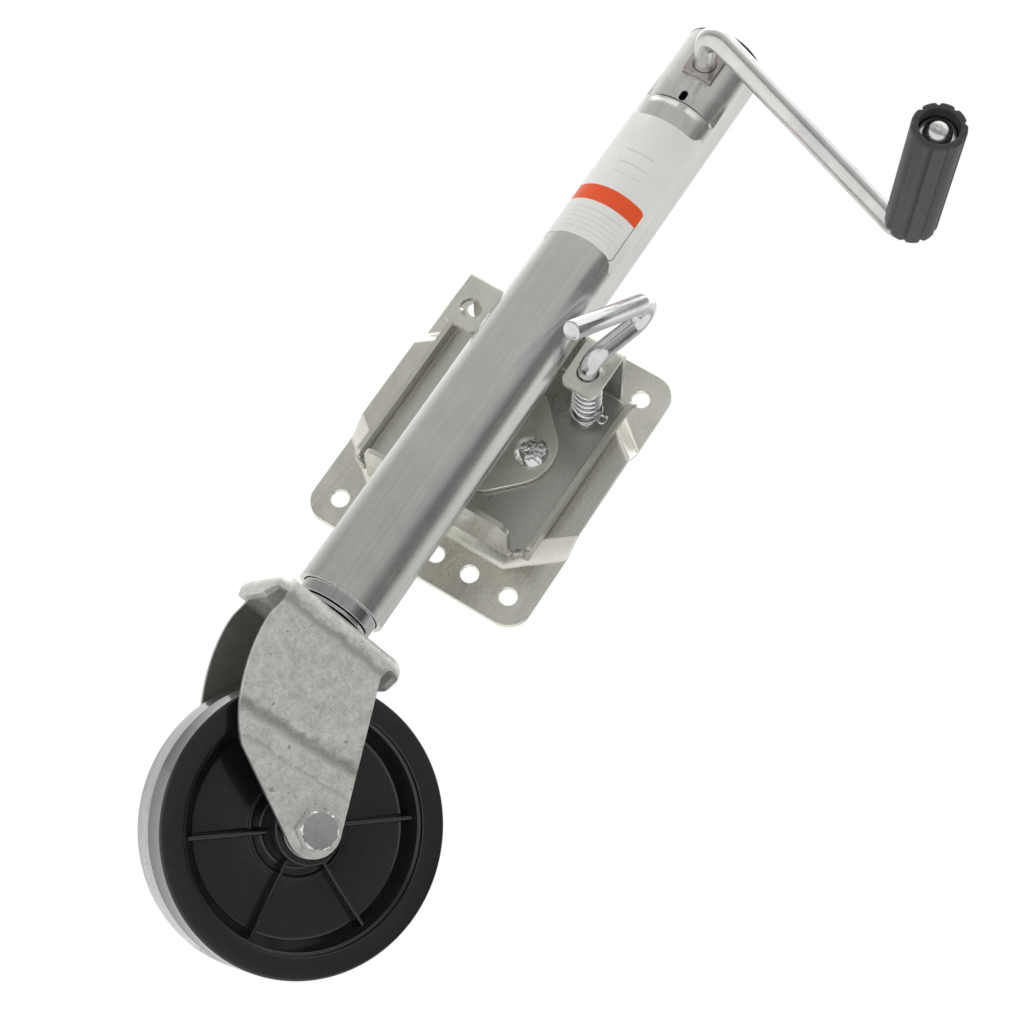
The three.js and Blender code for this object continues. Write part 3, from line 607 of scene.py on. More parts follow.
# lighter colours for each rounded edge's own material: a painted highlight along the edge, with some rubbed
# wear
EDGE_HIGHLIGHTS_AND_WEAR = {
    "disc_zinc": ((0.97, 0.96, 0.91), (0.82, 0.81, 0.76)),
    "zinc_sheet": ((0.97, 0.96, 0.91), (0.82, 0.81, 0.76)),
    "plate_zinc": ((0.96, 0.95, 0.9), (0.8, 0.79, 0.73)),
    "zinc_tube": ((0.92, 0.92, 0.91), (0.76, 0.76, 0.755)),
    "matt_zinc": ((0.92, 0.92, 0.89), (0.72, 0.725, 0.70)),
}
# base and worn colour, roughness, coat and bump
PLASTIC = {
    "black_plastic": ((0.008, 0.008, 0.0085), (0.013, 0.013, 0.0135), 0.2, 0.3, 0.02),
    "tread": ((0.012, 0.012, 0.012), (0.03, 0.03, 0.03), 0.3, 1.0, 0.03),
    "grip_plastic": ((0.036, 0.036, 0.039), (0.055, 0.055, 0.058), 0.44, 0.0, 0.2),
}
MATERIALS = {name: zinc(name, *look) for name, look in ZINC.items()}
MATERIALS |= {name: plastic(name, *look) for name, look in PLASTIC.items()}
MATERIALS |= {f"{name}_edge": zinc(f"{name}_edge", *look, 0.2, (1, 1, 1), 0.6, 0.04)
              for name, look in EDGE_HIGHLIGHTS_AND_WEAR.items()}
MATERIALS["matt_zinc"] = fork_zinc()
MATERIALS["label"] = sticker()


# ---- mount plate and pivot
HALF_W = 73.0
PLATE_Z = (-92.5, 88.0)
# the raised middle's foot line: flat across the top, then straight down to each side
FOOT_FLAT, FOOT_HIGH = 45.5, 63.5
FOOT_RUN, FOOT_FALL = 30.5, 24.9
FOOT_SLOPE = math.hypot(FOOT_RUN, FOOT_FALL)
RISE = 10.0
RAMP = 12.0


def raised_depth(x, z):
    """How far a point lies inside the raised middle's foot line."""
    below = FOOT_HIGH - abs(z)
    return min(below, (FOOT_RUN * below - FOOT_FALL * (abs(x) - FOOT_FLAT)) / FOOT_SLOPE)


def plate_surface(x, z):
    t = min(max(raised_depth(x, z) / RAMP, 0.0), 1.0)
    return -SHEET - RISE * t * t * (3 - 2 * t)


def mount_plate():
    outline = rectangle(-HALF_W, HALF_W, *PLATE_Z, 14.0)
    bolts = ((57, -75.5), (31.2, -75.5), (57, 69.8))
    holes = [circle(s * x, z, BOLT_HOLE) for s in (-1, 1) for x, z in bolts]
    holes.append(rectangle(-13.4, 13.4, -80.5, -70.5, 4.99))
    holes += [circle(sx * PIN_XZ, sz * PIN_XZ, PIN_HOLE) for sx in (-1, 1) for sz in (-1, 1)]
    holes += [circle(s * RIVET_X, 0, BOLT_HOLE) for s in (-1, 1)]
    grid = [p for p in lattice(-HALF_W, HALF_W, *PLATE_Z, 2.0) if not 0.2 < raised_depth(*p) < RAMP + 0.5]
    x_edge = HALF_W + 1
    creases = []
    for share in (0.0, 0.08, 0.17, 0.27, 0.38, 0.5, 0.62, 0.73, 0.83, 0.92, 1.0):
        # the foot line moved inwards: the flat and the diagonal meet at corner_x
        d = share * RAMP
        corner_x = FOOT_FLAT + (FOOT_RUN - FOOT_SLOPE) * d / FOOT_FALL
        edge_z = FOOT_HIGH - (d * FOOT_SLOPE + FOOT_FALL * (x_edge - FOOT_FLAT)) / FOOT_RUN
        for s in (-1, 1):
            creases.append([(-x_edge, s * edge_z), (-corner_x, s * (FOOT_HIGH - d)),
                            (corner_x, s * (FOOT_HIGH - d)), (x_edge, s * edge_z)])
    sheet = fill(outline, holes, grid, creases)
    shape = thicken(sheet, lambda x, z: (x, plate_surface(x, z), z),
                    lambda x, z: (x, plate_surface(x, z) + SHEET, z))
    fine("mount_plate", shape, "plate_zinc", "mount_bracket", bevel=0.5, sharp=42)


def retainer():
    tips = [(49.4, 0, 26), (0, 49.4, 26), (-49.4, 0, 26), (0, -49.4, 26)]
    holes = [circle(s * RIVET_X, 0, BOLT_HOLE) for s in (-1, 1)]
    shape = slab(fillet(tips, step=5), holes, RETAINER_BACK, SHEET)
    fine("retainer_plate", shape, "disc_zinc", "mount_bracket", bevel=0.7)
    hub = along_y(ring(12, 31.5, 13.2, 16.9, (0.3, 0.3), 96))
    fine("pivot_hub_ring", hub, "plain_steel", "mount_bracket")


def rivet(side, s):
    """A pivot rivet with a hammered head, uneven as a peened one is."""
    profile = fillet([(0, 6.1, 0), (6, 6.1, 1.5), (8.5, 8.0, 1), (8.5, 9.7, 0.4), (5, 9.7, 0.2),
                      (5, 20.3, 0.2), (9.9, 20.3, 0.5), (9.9, 22.0, 1.2), (7.4, 24.3, 2.5), (4, 25.3, 3),
                      (0, 25.4, 0)], closed=False, step=10)
    head_from, dented_from = 20.2, 21.5
    stretches = [(a, b, max(1, round(math.dist(a, b) / 0.5)) if min(a[1], b[1]) > head_from else 1)
                 for a, b in zip(profile, profile[1:])]
    points, faces = lathe(divided(stretches) + profile[-1:], 72)
    rough = []
    for x, y, h in points:
        if h > dented_from:
            dent = noise.fractal(Vector((x * 0.33 + 7 * s, y * 0.33, h * 0.2)), 1.0, 2.1, 3)
            h += min(0.0, 0.75 * dent - 0.1)
            swell = 1 + 0.015 * noise.noise(Vector((x * 0.2, y * 0.2 + s, 0)))
            x, y = x * swell, y * swell
        rough.append((x, y, h))
    shape = along_y((rough, faces), s * RIVET_X)
    fine(f"retainer_rivet_{side}", shape, "bright_zinc", "mount_bracket", sharp=50)


# ---- swing bracket
BRACKET_X = 58.5
BRACKET_Z = 60.0
BEND = 4.5
HAIR = 0.01  # keeps neighbouring shells of one sheet from sharing corners


def folded(fold, outline, swap, depth, holes=(), extra=()):
    """A bent sheet from an outline in (across, along the fold line), thickened inwards by depth.

    swap places a point of the section in 3-D, from (across, section x, section y).
    """
    across, along = zip(*outline)
    low, high = min(across), max(across)
    rows = [s for s in fold.at_start if min(along) < s < max(along)]
    columns = max(2, round((high - low) / 4.0))
    grid = [(low + (high - low) * (i + 0.5) / columns, s + 1e-4)
            for s in rows for i in range(columns)]
    creases = [[(low - 1, s), (high + 1, s)] for s in rows
               if min(along) + 0.05 < s < max(along) - 0.05]
    sheet = fill(outline, holes, grid + list(extra), creases)

    def surface(inwards):
        def at(u, s):
            where, normal = fold.place(s)
            inner = where - normal * inwards
            return swap(u, inner.x, inner.y)
        return at
    return thicken(sheet, surface(0), surface(depth))


def side_rim(s):
    """One side of the bracket: the sheet turns forward, and at the right its top end flares out."""
    side, half = BRACKET_X - BEND, BRACKET_Z - BEND
    fold = Fold([(s * side, FLOOR_BACK, 0), (s * BRACKET_X, FLOOR_BACK, BEND),
                 (s * BRACKET_X, FLOOR_BACK - SHEET - 12, 0)])
    length = fold.at_start[-1]
    outline = fillet([(-half, 0, 0), (half, 0, 0), (half, length, 4), (-half, length, 4)], step=15)
    flare = 3.2 if s > 0 else 0.0

    def place(u, p, q):
        rise = min(max((u - half + 11) / 11, 0.0), 1.0) * min(max((FLOOR_BACK - 4 - q) / 5, 0.0), 1.0)
        return (p + flare * rise ** 2, q, u)
    return folded(fold, outline, place, SHEET * s, extra=lattice(half - 12, half, BEND, length, 1.5, 3))


def upright(u, p, q):
    """Places a section point of the bottom or top wall."""
    return (u, q, p)


def bottom_wall():
    """Hollowed at the front to cradle the tube."""
    front, wide = -53, 47
    fold = Fold([(BEND - BRACKET_Z, FLOOR_BACK, 0), (-BRACKET_Z, FLOOR_BACK, BEND), (-BRACKET_Z, front, 0)])
    length = fold.at_start[-1]
    start = math.acos((front - TUBE_Y) / CRADLE_R)
    notch = [(x, wall_length(TUBE_Y + y), 0)
             for y, x in arc(0, 0, CRADLE_R, -start, start, 16)]
    outline = fillet([(wide, 0, 0), (-wide, 0, 0), (-wide, length, 8), *notch, (wide, length, 8)], step=10)
    return folded(fold, outline, upright, -SHEET)


def top_half(s):
    """Half of the top wall, with an ear folded down beside the tube."""
    half, ear_low, wide = BRACKET_Z - BEND, 25.3, 50
    fold = Fold([(half, FLOOR_BACK, 0), (BRACKET_Z, FLOOR_BACK, BEND), (BRACKET_Z, EAR_FRONT, BEND),
                 (ear_low, EAR_FRONT, 0)])
    total = fold.at_start[-1]
    wall = [(0, 0, 0), (s * wide, 0, 0), (s * wide, total, 5.5), (s * 27.6, total, 5),
            (s * 27.2, total - (half - ear_low), 0)]
    wall += [(s * x, wall_length(TUBE_Y + y), 0)
             for x, y in arc(0, 0, CRADLE_R, math.radians(7), math.radians(90), 12)]
    pin = circle(s * PIN_XZ, total - (PIN_XZ - ear_low), PIN_HOLE)
    return folded(fold, fillet(wall, step=10), upright, SHEET, [pin])


def swivel_bracket():
    side, half = BRACKET_X - BEND, BRACKET_Z - BEND
    x, z = side - HAIR, half - HAIR
    holes = [circle(s * PIN_XZ, PIN_XZ, PIN_HOLE) for s in (-1, 1)] + [circle(0, 0, 32, 96)]
    floor = slab([(-x, -z), (x, -z), (x, z), (-x, z)], holes, FLOOR_BACK, SHEET)

    def seam(p):
        """True on the lines where two shells of the one sheet meet, which stay unrounded."""
        near_floor = p.y > FLOOR_BACK - SHEET - 0.05
        edge_x = abs(abs(p.x) - side) < 0.05 and abs(p.z) < BRACKET_Z
        edge_z = abs(abs(p.z) - half) < 0.05
        return near_floor and (edge_x or edge_z) or (abs(p.x) < 0.01 and p.z > 50)
    shape = merged(floor, side_rim(-1), side_rim(1), bottom_wall(), top_half(-1), top_half(1))
    fine("swivel_bracket", shape, "zinc_sheet", "swing_head", bevel=0.9, plain=seam)


def wall_length(y):
    """Distance along the top or bottom wall's fold line at a depth y."""
    arc = BEND * math.pi / 2
    return arc + (FLOOR_BACK - BEND) - y


def weld(name, path, radius, seed):
    """A bead of weld metal: a lumpy bar along a path."""
    line = [Vector(p) for p in path]
    dense = []
    for a, b in zip(line, line[1:]):
        pieces = max(2, round((b - a).length / 0.8))
        dense += [a.lerp(b, k / pieces) for k in range(pieces)]
    dense.append(line[-1])
    last = len(dense) - 1

    def swell(i):
        ripple = 0.16 * math.sin(i * 1.9) + 0.25 * noise.noise(Vector((i * 0.35, seed, 0)))
        return radius * (1 + ripple) * max(0.12, math.sin(math.pi * min(1, (i + 1) / (last + 2))) ** 0.4)
    piece(name, sweep(dense, swell, 20), MATERIALS["zinc_sheet"], "swing_head", sharp=60)


def welds():
    y = FLOOR_BACK - SHEET - 2
    for k, s in enumerate((-1, 1)):
        x = s * 52.5
        path = [(x + s * 3, y - 9, -57), (x - s * 1, y - 4, -57.5), (x - s * 2, y, -56)]
        weld(f"swivel_bracket_weld{k}", path, 2.1, k)
        path = [(s * px, TUBE_Y + py, 60.6)
                for px, py in arc(0, 0, TUBE_R + 0.9, math.radians(15), math.radians(70), 8)]
        weld(f"swivel_bracket_weld{k + 2}", path, 1.7, k + 5)
        weld(f"swivel_bracket_weld{k + 4}", [(px, py, -60.6) for px, py, _ in path[3:]], 1.7, k + 9)


# ---- jack tube
CUT_Z = 200.0
CUT_HALF = math.radians(52)


def tube_ridge(turn):
    """Height of the line where the pressed area runs out, at an angle from the front."""
    return 205.6 + 19.0 * math.sin(turn) ** 2


def tube_inset(turn, z):
    """How far the tube's wall is pressed in round the bearing seat, at an angle from the front."""
    across = max(0.0, 1 - (turn / CUT_HALF) ** 2)
    if z <= CUT_Z:
        t = max(0.0, 1 - (CUT_Z - z) / 6.0)
        return 1.2 * across * t * t * (3 - 2 * t)
    return 0.045 * max(0.0, tube_ridge(turn) - z) * (1 if abs(turn) < CUT_HALF * 1.1 else 0)


def on_tube(radius):
    """Wraps (distance round the tube, height) round it, from the front, at a radius."""
    def at(s, z):
        turn = s / TUBE_R
        r = radius(turn, z) if callable(radius) else radius
        return (r * math.sin(turn), TUBE_Y - r * math.cos(turn), z)
    return at


def outer_tube():
    z0, z1 = TUBE_Z
    lo, hi = math.radians(-120) * TUBE_R, math.radians(240) * TUBE_R
    half = 9.35
    square = []
    for z, order in ((CRANK_Z - half, 1), (CRANK_Z + half, -1)):
        square += [(TUBE_R * math.asin((-half + 2 * half * k / 10) / TUBE_R), z) for k in range(11)][::order]
    slot = rectangle(-2.1, 2.1, CUT_Z + 0.3, CUT_Z + 7.2, 2.05)
    back = [(TUBE_R * (math.pi + math.asin(x / TUBE_R)), z) for x, z in circle(0, CRANK_Z, 8.7, 36)]
    reach = CUT_HALF * TUBE_R
    slit = [(-reach + 2 * reach * k / 48, CUT_Z - 0.02) for k in range(49)]
    slit += [(reach - 2 * reach * (k + 0.5) / 48, CUT_Z + 0.28) for k in range(48)]
    columns = 120
    rows = [z0 + 0.8, z0 + 3] + [z0 + 8 * k for k in range(1, 41)] + [176 + 4 * k for k in range(3)]
    rows += [187.5 + 1.25 * k for k in range(26)] + [221 + 3 * k for k in range(10)] + [z1 - 1]
    grid = [(lo + (hi - lo) * (i + 0.5 * (j % 2) + 0.25) / columns, z)
            for j, z in enumerate(rows) for i in range(columns)]
    edge = [lo + (hi - lo) * k / columns for k in range(columns + 1)]
    outline = [(s, z0) for s in edge] + [(hi, z) for z in rows[2::3]]
    outline += [(s, z1) for s in reversed(edge)] + [(lo, z) for z in reversed(rows[2::3])]
    turns = [math.radians(-56 + 112 * k / 40) for k in range(41)]
    crease = [(TUBE_R * turn, tube_ridge(turn)) for turn in turns]
    creases = [[p for p in crease if s * p[0] > 2.4] for s in (-1, 1)]
    sheet = fill(outline, [square, slot, back, slit], grid, creases)

    def skin(depth):
        return on_tube(lambda turn, z: TUBE_R - depth - (tube_inset(turn, z) if abs(turn) < 1.1 else 0))
    shape = thicken(sheet, skin(0), skin(TUBE_WALL))
    fine("outer_tube", shape, "zinc_tube", "swing_head", bevel=0.35, sharp=45)


def label_sheet():
    half, low, high = math.radians(62) * TUBE_R, 88, 190
    grid = lattice(-half, half, low, high, 1.6, 12)
    sheet = fill(rectangle(-half, half, low, high, 3), grid=grid)
    shape = thicken(sheet, on_tube(TUBE_R + 0.16), on_tube(TUBE_R + 0.03))
    fine("label", shape, "label", "swing_head")


def at_tube(shape):
    return shifted(shape, Matrix.Translation((0, TUBE_Y, 0)))


def top_cap():
    z = TUBE_Z[1] + 0.2
    plug = TUBE_R - TUBE_WALL - 0.25
    corners = [(0, z + 2.8, 0), (TUBE_R - 3, z + 2.6, 6), (TUBE_R, z + 1.4, 1.3), (TUBE_R, z, 0.3),
               (plug, z, 0.2), (plug, z - 8, 0.8), (plug - 2, z - 8, 0.5), (plug - 2, z - 0.5, 0.5),
               (0, z - 0.5, 0)]
    fine("top_cap", at_tube(turned(corners, 128, step=10)), "black_plastic", "swing_head")


def crank_bush():
    half = 9.2
    outline = rectangle(-half, half, CRANK_Z - half, CRANK_Z + half, 0.9)
    shape = slab(outline, [circle(0, CRANK_Z, ROD_R + 0.3, 56)], -95.5, 7.9, step=0)
    fine("crank_bush_front", shape, "bush_steel", "swing_head", bevel=0.6)


# ---- crank and grip
ARM_DROP = math.radians(-21)
ARM_LENGTH = 167
ARM_END = (ARM_LENGTH * math.cos(ARM_DROP), CRANK_Z + ARM_LENGTH * math.sin(ARM_DROP))
ARM_Y = -136
GRIP_Y = (-151.0, -240.0)


def crank_rod():
    path = bend_path([(0, -96.5, CRANK_Z), (0, ARM_Y, CRANK_Z), (ARM_END[0], ARM_Y, ARM_END[1]),
                      (ARM_END[0], -233, ARM_END[1])], [15, 13], step=5)
    rod = sweep(path, ROD_R, 48)
    spindle = along_y(turned([(0, 51.3, 0), (5, 51.3, 0.8), (5, 98, 0)], 48), 0, CRANK_Z)
    corners = [(0, 231, 0), (6.3, 231, 0), (6.3, 233.2, 0.2), (7.5, 233.2, 0.6), (7.3, 235.2, 2.2),
               (4.5, 237.8, 3), (1.6, 238.6, 0.4), (1.2, 238.0, 0.3), (0, 237.9, 0)]
    head = along_y(turned(corners, 56, step=8), *ARM_END)
    fine("crank_rod", merged(rod, spindle, head), "rod_zinc", "crank", sharp=50)
    washer = along_y(ring(6.9, 9.6, 231.3, 232.7, (0.2, 0.4), 56), *ARM_END)
    fine("grip_washer", washer, "bright_zinc", "crank")


def grip():
    """The fluted plastic grip: its flutes run out before each rounded end."""
    lobes = 9
    low, high = -GRIP_Y[0], -GRIP_Y[1]
    profile = fillet([(7.0, low, 0.4), (14.0, low, 1.6), (14.0, high, 1.5), (10.2, high, 0.8),
                      (10.2, high - 9, 0.4), (7.0, high - 9, 0.3)], step=15)
    stretches = [(a, b, max(1, round(math.dist(a, b) / 3.0)))
                 for a, b in zip(profile, profile[1:] + profile[:1])]
    points, faces = lathe(divided(stretches), lobes * 16, closed=True)
    shaped = []
    for x, y, h in points:
        r = math.hypot(x, y)
        wave = max(0.0, math.cos(lobes * math.atan2(y, x)) - 0.55) / 0.45
        outer = min(max((r - 10.6) / 1.8, 0.0), 1.0)
        fluted = r - outer * 1.35 * wave ** 1.2
        shaped.append((x * fluted / r, y * fluted / r, h))
    fine("crank_grip", along_y((shaped, faces), *ARM_END), "grip_plastic", "grip", sharp=40)


# ---- lock pin
PIN_TIP = -13.4
COTTER_Y = PIN_TIP - 9
WASHER_BACK = COTTER_Y - 1.6
HOOK = {"angle": 73, "y": EAR_FRONT - 13.4, "bend": 12, "straight": 31, "turn": 11, "lean": 32, "back": 60}


def lock_pin():
    tilt = math.radians(HOOK["angle"])
    lean = math.radians(HOOK["lean"])
    y, straight, turn = HOOK["y"], HOOK["straight"], HOOK["turn"]

    def at(s, depth):
        return Vector((PIN_XZ + s * math.cos(tilt), depth, PIN_XZ + s * math.sin(tilt)))
    path = bend_path([at(0, PIN_TIP), at(0, y), at(straight, y)], [HOOK["bend"]], step=6)
    hook = arc(straight, y - turn, turn, math.pi / 2, lean - math.pi / 2, 24)
    path += [at(*point) for point in hook[1:]]
    s, depth = hook[-1]
    back = HOOK["back"]
    for share in (0.5, 0.975, 0.99, 1.0):
        path.append(at(s - back * share * math.cos(lean), depth - back * share * math.sin(lean)))
    path.insert(1, path[0].lerp(path[1], 0.03))
    last = len(path) - 1

    def radius(i):
        if i == 0:
            return PIN_R - 1.2
        return PIN_R - {last: 1.3, last - 1: 0.35}.get(i, 0.0)
    fine("lock_pin", sweep(path, radius, 40), "bright_zinc", "lock_pin_body", sharp=40)
    washer = ring(PIN_R + 0.25, 9.6, -WASHER_BACK, 1.4 - WASHER_BACK, (0.2, 0.5), 48)
    fine("lock_pin_washer", along_y(washer, PIN_XZ, PIN_XZ), "bright_zinc", "lock_pin_body")


def cotter():
    """The split pin: a straight bar through the lock pin, ending in an open eye."""
    eye = arc(10.6, 0, 2.5, -0.62 * math.pi, 0.85 * math.pi, 24)
    path = [(x, 0, z) for x, z in [(-8.6, 0), (7.6, 0), *eye]]
    shape = shifted(sweep(path, 1.0, 16), Matrix.Translation((PIN_XZ, COTTER_Y, PIN_XZ)))
    fine("lock_pin_cotter", shape, "bright_zinc", "lock_pin_body", sharp=60)


def lock_spring():
    front, back = EAR_FRONT + SHEET + 0.3, WASHER_BACK - 1.8
    radius, wire, turns, steps = 7.5, 1.25, 6, 36
    closed = 0.06  # share of the wire in the closed coil at each end
    path = []
    for k in range(turns * steps + 1):
        t = k / (turns * steps)
        ends = min(1.0, t / closed) + max(0.0, (t - 1 + closed) / closed)
        y = front + wire + (back - front - 2 * wire) * (closed * ends + (1 - 2 * closed) * t)
        angle = t * turns * TAU
        path.append((PIN_XZ + radius * math.cos(angle), y, PIN_XZ + radius * math.sin(angle)))
    spring = fine("lock_spring", sweep(path, wire, 12), "bright_zinc", "swing_head", sharp=60)
    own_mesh(spring)


# ---- fork
FORK_BEND = 9.0
CROWN_X, CROWN_Y = 33.0, 24.0  # half sides of the crown's flat top
BEND_LENGTH = FORK_BEND * math.pi / 2


def fork_leg(z):
    """Distance along the bent sheet, from the crown's middle, to a height on the leg."""
    return CROWN_Y + BEND_LENGTH + (CROWN_TOP - FORK_BEND) - z


def fork_point(u, s, depth):
    """A point of the pressed sheet: flat over the crown, and bent down along its four sides."""
    flat = Vector((min(max(u, -CROWN_X), CROWN_X), min(max(s, -CROWN_Y), CROWN_Y)))
    out = Vector((u, s)) - flat
    reach = out.length
    turn = min(reach / FORK_BEND, math.pi / 2)
    where = flat + out.normalized() * ((FORK_BEND - depth) * math.sin(turn))
    z = CROWN_TOP - FORK_BEND + (FORK_BEND - depth) * math.cos(turn) - max(0.0, reach - BEND_LENGTH)
    pressed = Vector((*where, z))
    # below its bend a leg is plain flat sheet, at its full width
    below = abs(s) - CROWN_Y - BEND_LENGTH
    plain = Vector((u, math.copysign(CROWN_Y + FORK_BEND - depth, s), CROWN_TOP - FORK_BEND - below))
    return tuple(CASTER @ pressed.lerp(plain, min(max(below / 10, 0.0), 1.0)))


def caster_fork():
    boss = 14.6
    leg = [(-34.6, fork_leg(-172), 1.5), (-35.4, fork_leg(-182), 0)]
    for k in range(1, 15):
        t = k / 15
        a, b, c, d = [(1 - t) ** 3, 3 * t * (1 - t) ** 2, 3 * t * t * (1 - t), t ** 3]
        leg.append((-35.5 * a - 35 * b - 20 * c - 5 * d,
                    fork_leg(-182 * a - 208 * b - 238 * c - 246.6 * d), 0))
    leg += [(u, fork_leg(z), 0) for u, z in arc(*AXLE, boss, -2.02, 0.42, 24)]
    leg += [(31.2, fork_leg(-174), 2)]
    near = [(u, -s, r) for u, s, r in leg]
    right = [(32.5, 37.5, 1), (43.5, 33, 5), (53, 19, 8)]
    left = [(-35.8, 37.6, 1), (-44.5, 32.5, 5), (-53, 19, 8)]
    down = [(u, -s, r) for u, s, r in right] + [(u, s, r) for u, s, r in right[::-1]]
    up = left + [(u, -s, r) for u, s, r in left[::-1]]
    outline = fillet(near + down + leg[::-1] + up, step=10)
    holes = [circle(AXLE[0], s * fork_leg(AXLE[1]), 6.3, 40) for s in (-1, 1)] + [circle(0, 0, 7.4, 48)]
    bends = 12
    creases = []
    for k in range(bends + 1):
        out = BEND_LENGTH * k / bends
        loop = rectangle(-CROWN_X - out, CROWN_X + out, -CROWN_Y - out, CROWN_Y + out, out)
        creases.append(loop + loop[:1])
    far = fork_leg(AXLE[1] - boss)
    grid = [(u, s) for u, s in lattice(-56, 66, -far, far, 4.0)
            if abs(s) > CROWN_Y + BEND_LENGTH + 1 or (abs(u) < CROWN_X - 1 and abs(s) < CROWN_Y - 1)]
    sheet = fill(outline, holes, grid, creases)
    shape = thicken(sheet, lambda u, s: fork_point(u, s, 0),
                    lambda u, s: fork_point(u, s, FORK_SHEET))
    fine("caster_fork", shape, "matt_zinc", "caster", bevel=1.0)


# ---- wheel and axle
def caster_wheel():
    half, hub_r, hub_half, rim = 20.4, 19.0, 26.4, 76.2
    dish = 8.2
    side = [(10.2, hub_half, 0.6), (hub_r - 0.5, hub_half, 1.0), (hub_r + 0.2, 16, 1),
            (hub_r + 0.6, dish, 1.5), (24.5, dish, 0.5), (25, 9.6, 0.5), (26.6, 9.6, 0.5), (27, dish, 0.5),
            (56.5, dish, 2), (59, 13, 2), (62.2, half - 2.2, 1.2), (63.6, half - 1.8, 0.6),
            (64.2, half, 0.7), (rim, half, 1.4)]
    other = [(r, -h, f) for r, h, f in side][::-1]
    parting_line = [(rim, 0.35, 0), (rim + 0.12, 0, 0), (rim, -0.35, 0)]
    body = turned(side + parting_line + other, 160, closed=True, step=14)
    ribs = [rib(math.radians(40 + 60 * k), s) for s in (-1, 1) for k in range(6)]
    shape = at_axle(merged(body, *ribs))
    wheel = fine("caster_wheel", shape, "black_plastic", "wheel", sharp=38)
    wheel.data.materials.append(MATERIALS["tread"])
    centre = CASTER @ Vector((AXLE[0], 0, AXLE[1]))
    axis = (CASTER.to_3x3() @ Vector((0, 1, 0))).normalized()
    for face in wheel.data.polygons:
        away = face.center / MM - centre
        if (away - axis * away.dot(axis)).length > rim - 1.0 and abs(away.dot(axis)) < half - 1.2:
            face.material_index = 1


def rib(turn, side):
    """One stiffening rib: upright, thinner towards its rounded top, and a little lower midway."""
    points = []
    stations = (18.2, 22, 27, 33, 40, 48, 55, 58.5, 60.2)
    flank = [(-2.5, 7.9), (-1.9, 8.6), (-1.45, 10), (-1.1, 14.2), (-0.8, 15.1), (-0.3, 15.4)]
    section = flank + [(-across, h) for across, h in reversed(flank)]
    rotate = Matrix.Rotation(turn, 3, "Z")
    for r in stations:
        sag = 0.84 * math.sin(math.pi * min(1.0, max(0.0, (r - 19) / 40)))
        for across, h in section:
            tall = h if h < 10.1 else h - sag
            points.append(tuple(rotate @ Vector((r, across, side * tall))))
    count = len(section)
    faces = bands(len(stations), count, range(count - 1))
    faces.append(tuple(range(count)))
    faces.append(tuple(range(len(points) - 1, len(points) - count - 1, -1)))
    return points, faces


def hex_body(flats, low, high, chamfer_r, bore=0.0):
    """A hexagonal head or nut: flat sides, with the round chamfer that turns its top corners."""
    count = 72
    corner = flats / math.sqrt(3)
    turns = [TAU * k / count for k in range(count)]
    sides = [flats / 2 / math.cos((a + math.pi / 6) % (math.pi / 3) - math.pi / 6) for a in turns]
    levels = [(low, corner), (low + 0.9, corner), (high - 1.1, corner), (high - 0.6, corner - 0.6),
              (high, chamfer_r)]
    if bore:
        levels += [(high, bore), (low, bore)]
    points = [(min(r, limit) * math.cos(a), min(r, limit) * math.sin(a), h)
              for h, limit in levels for a, r in zip(turns, sides)]
    faces = bands(len(levels), count, range(count), closed=bool(bore))
    if not bore:
        faces.append(tuple(range(len(points) - count, len(points))))
        faces.append(tuple(reversed(range(count))))
    return points, faces


def axle_set():
    seat, flats, shank_r, nut_bore = 33.3, 18.6, 6, 6.2
    shank = turned([(0, -48, 0), (shank_r - 1, -48, 0.3), (shank_r, -47, 0.3), (shank_r, seat + 1, 0),
                    (0, seat + 1, 0)], 48)
    flange = turned([(0, seat, 0), (9, seat, 0.2), (9, seat + 0.8, 0.2), (0, seat + 0.8, 0)], 64)
    head = hex_body(flats, seat + 0.7, seat + 7.8, 9.2)
    fine("axle_bolt", at_axle(merged(shank, flange, head)), "bright_zinc", "caster", sharp=14)
    nut = shifted(hex_body(flats, seat, seat + 8.5, 8.9, nut_bore), Matrix.Rotation(math.pi, 4, "X"))
    collar = turned([(nut_bore, -seat - 8.2, 0), (8.2, -seat - 8.2, 0), (8.2, -seat - 11.2, 1.2),
                     (nut_bore, -seat - 11.5, 0.3)], 56, closed=True)
    fine("axle_nut", at_axle(merged(nut, collar)), "bright_zinc", "caster", sharp=14)
    for name, low in (("near", 26.8), ("far", -28.8)):
        washer = ring(10.1, 15, low, low + 2, (0.2, 0.5), 64)
        fine(f"hub_washer_{name}", at_axle(washer), "plain_steel", "caster")


def leg_pieces():
    low, high = -155.0, 190.0
    fine("inner_tube", at_tube(ring(20.1, 22.3, low, high, (0.4, 0.5), 112)), "leg_steel", "leg")
    washer = ring(7.3, 20.4, low - 2.4, low - 0.3, (0.2, 0.6), 96)
    fine("swivel_washer", at_tube(washer), "bright_zinc", "leg")
    seat, top = CROWN_TOP + 0.2, CROWN_TOP + 2.2
    race = turned([(7.4, seat, 0.2), (18.5, seat, 0.4), (18.5, top, 0.8), (7.4, top, 0.2)], 96, closed=True)
    fine("swivel_race", at_tube(race), "plain_steel", "caster")


# ---- stage
def look_from(aim, bearing, height, roll, distance, lens):
    """A camera by where it stands: degrees round from the front, above the level and rolled."""
    camera = bpy.data.cameras.new("camera")
    camera.lens = lens
    camera.sensor_width = 36.0
    camera.clip_start = 0.05
    obj = add_object("camera", camera)
    turn = Matrix.Rotation(math.radians(bearing), 4, "Z") @ Matrix.Rotation(math.radians(90 - height), 4, "X")
    obj.matrix_world = (Matrix.Translation(aim) @ turn @ Matrix.Rotation(math.radians(roll), 4, "Z")
                        @ Matrix.Translation((0, 0, distance)))
    bpy.context.scene.camera = obj


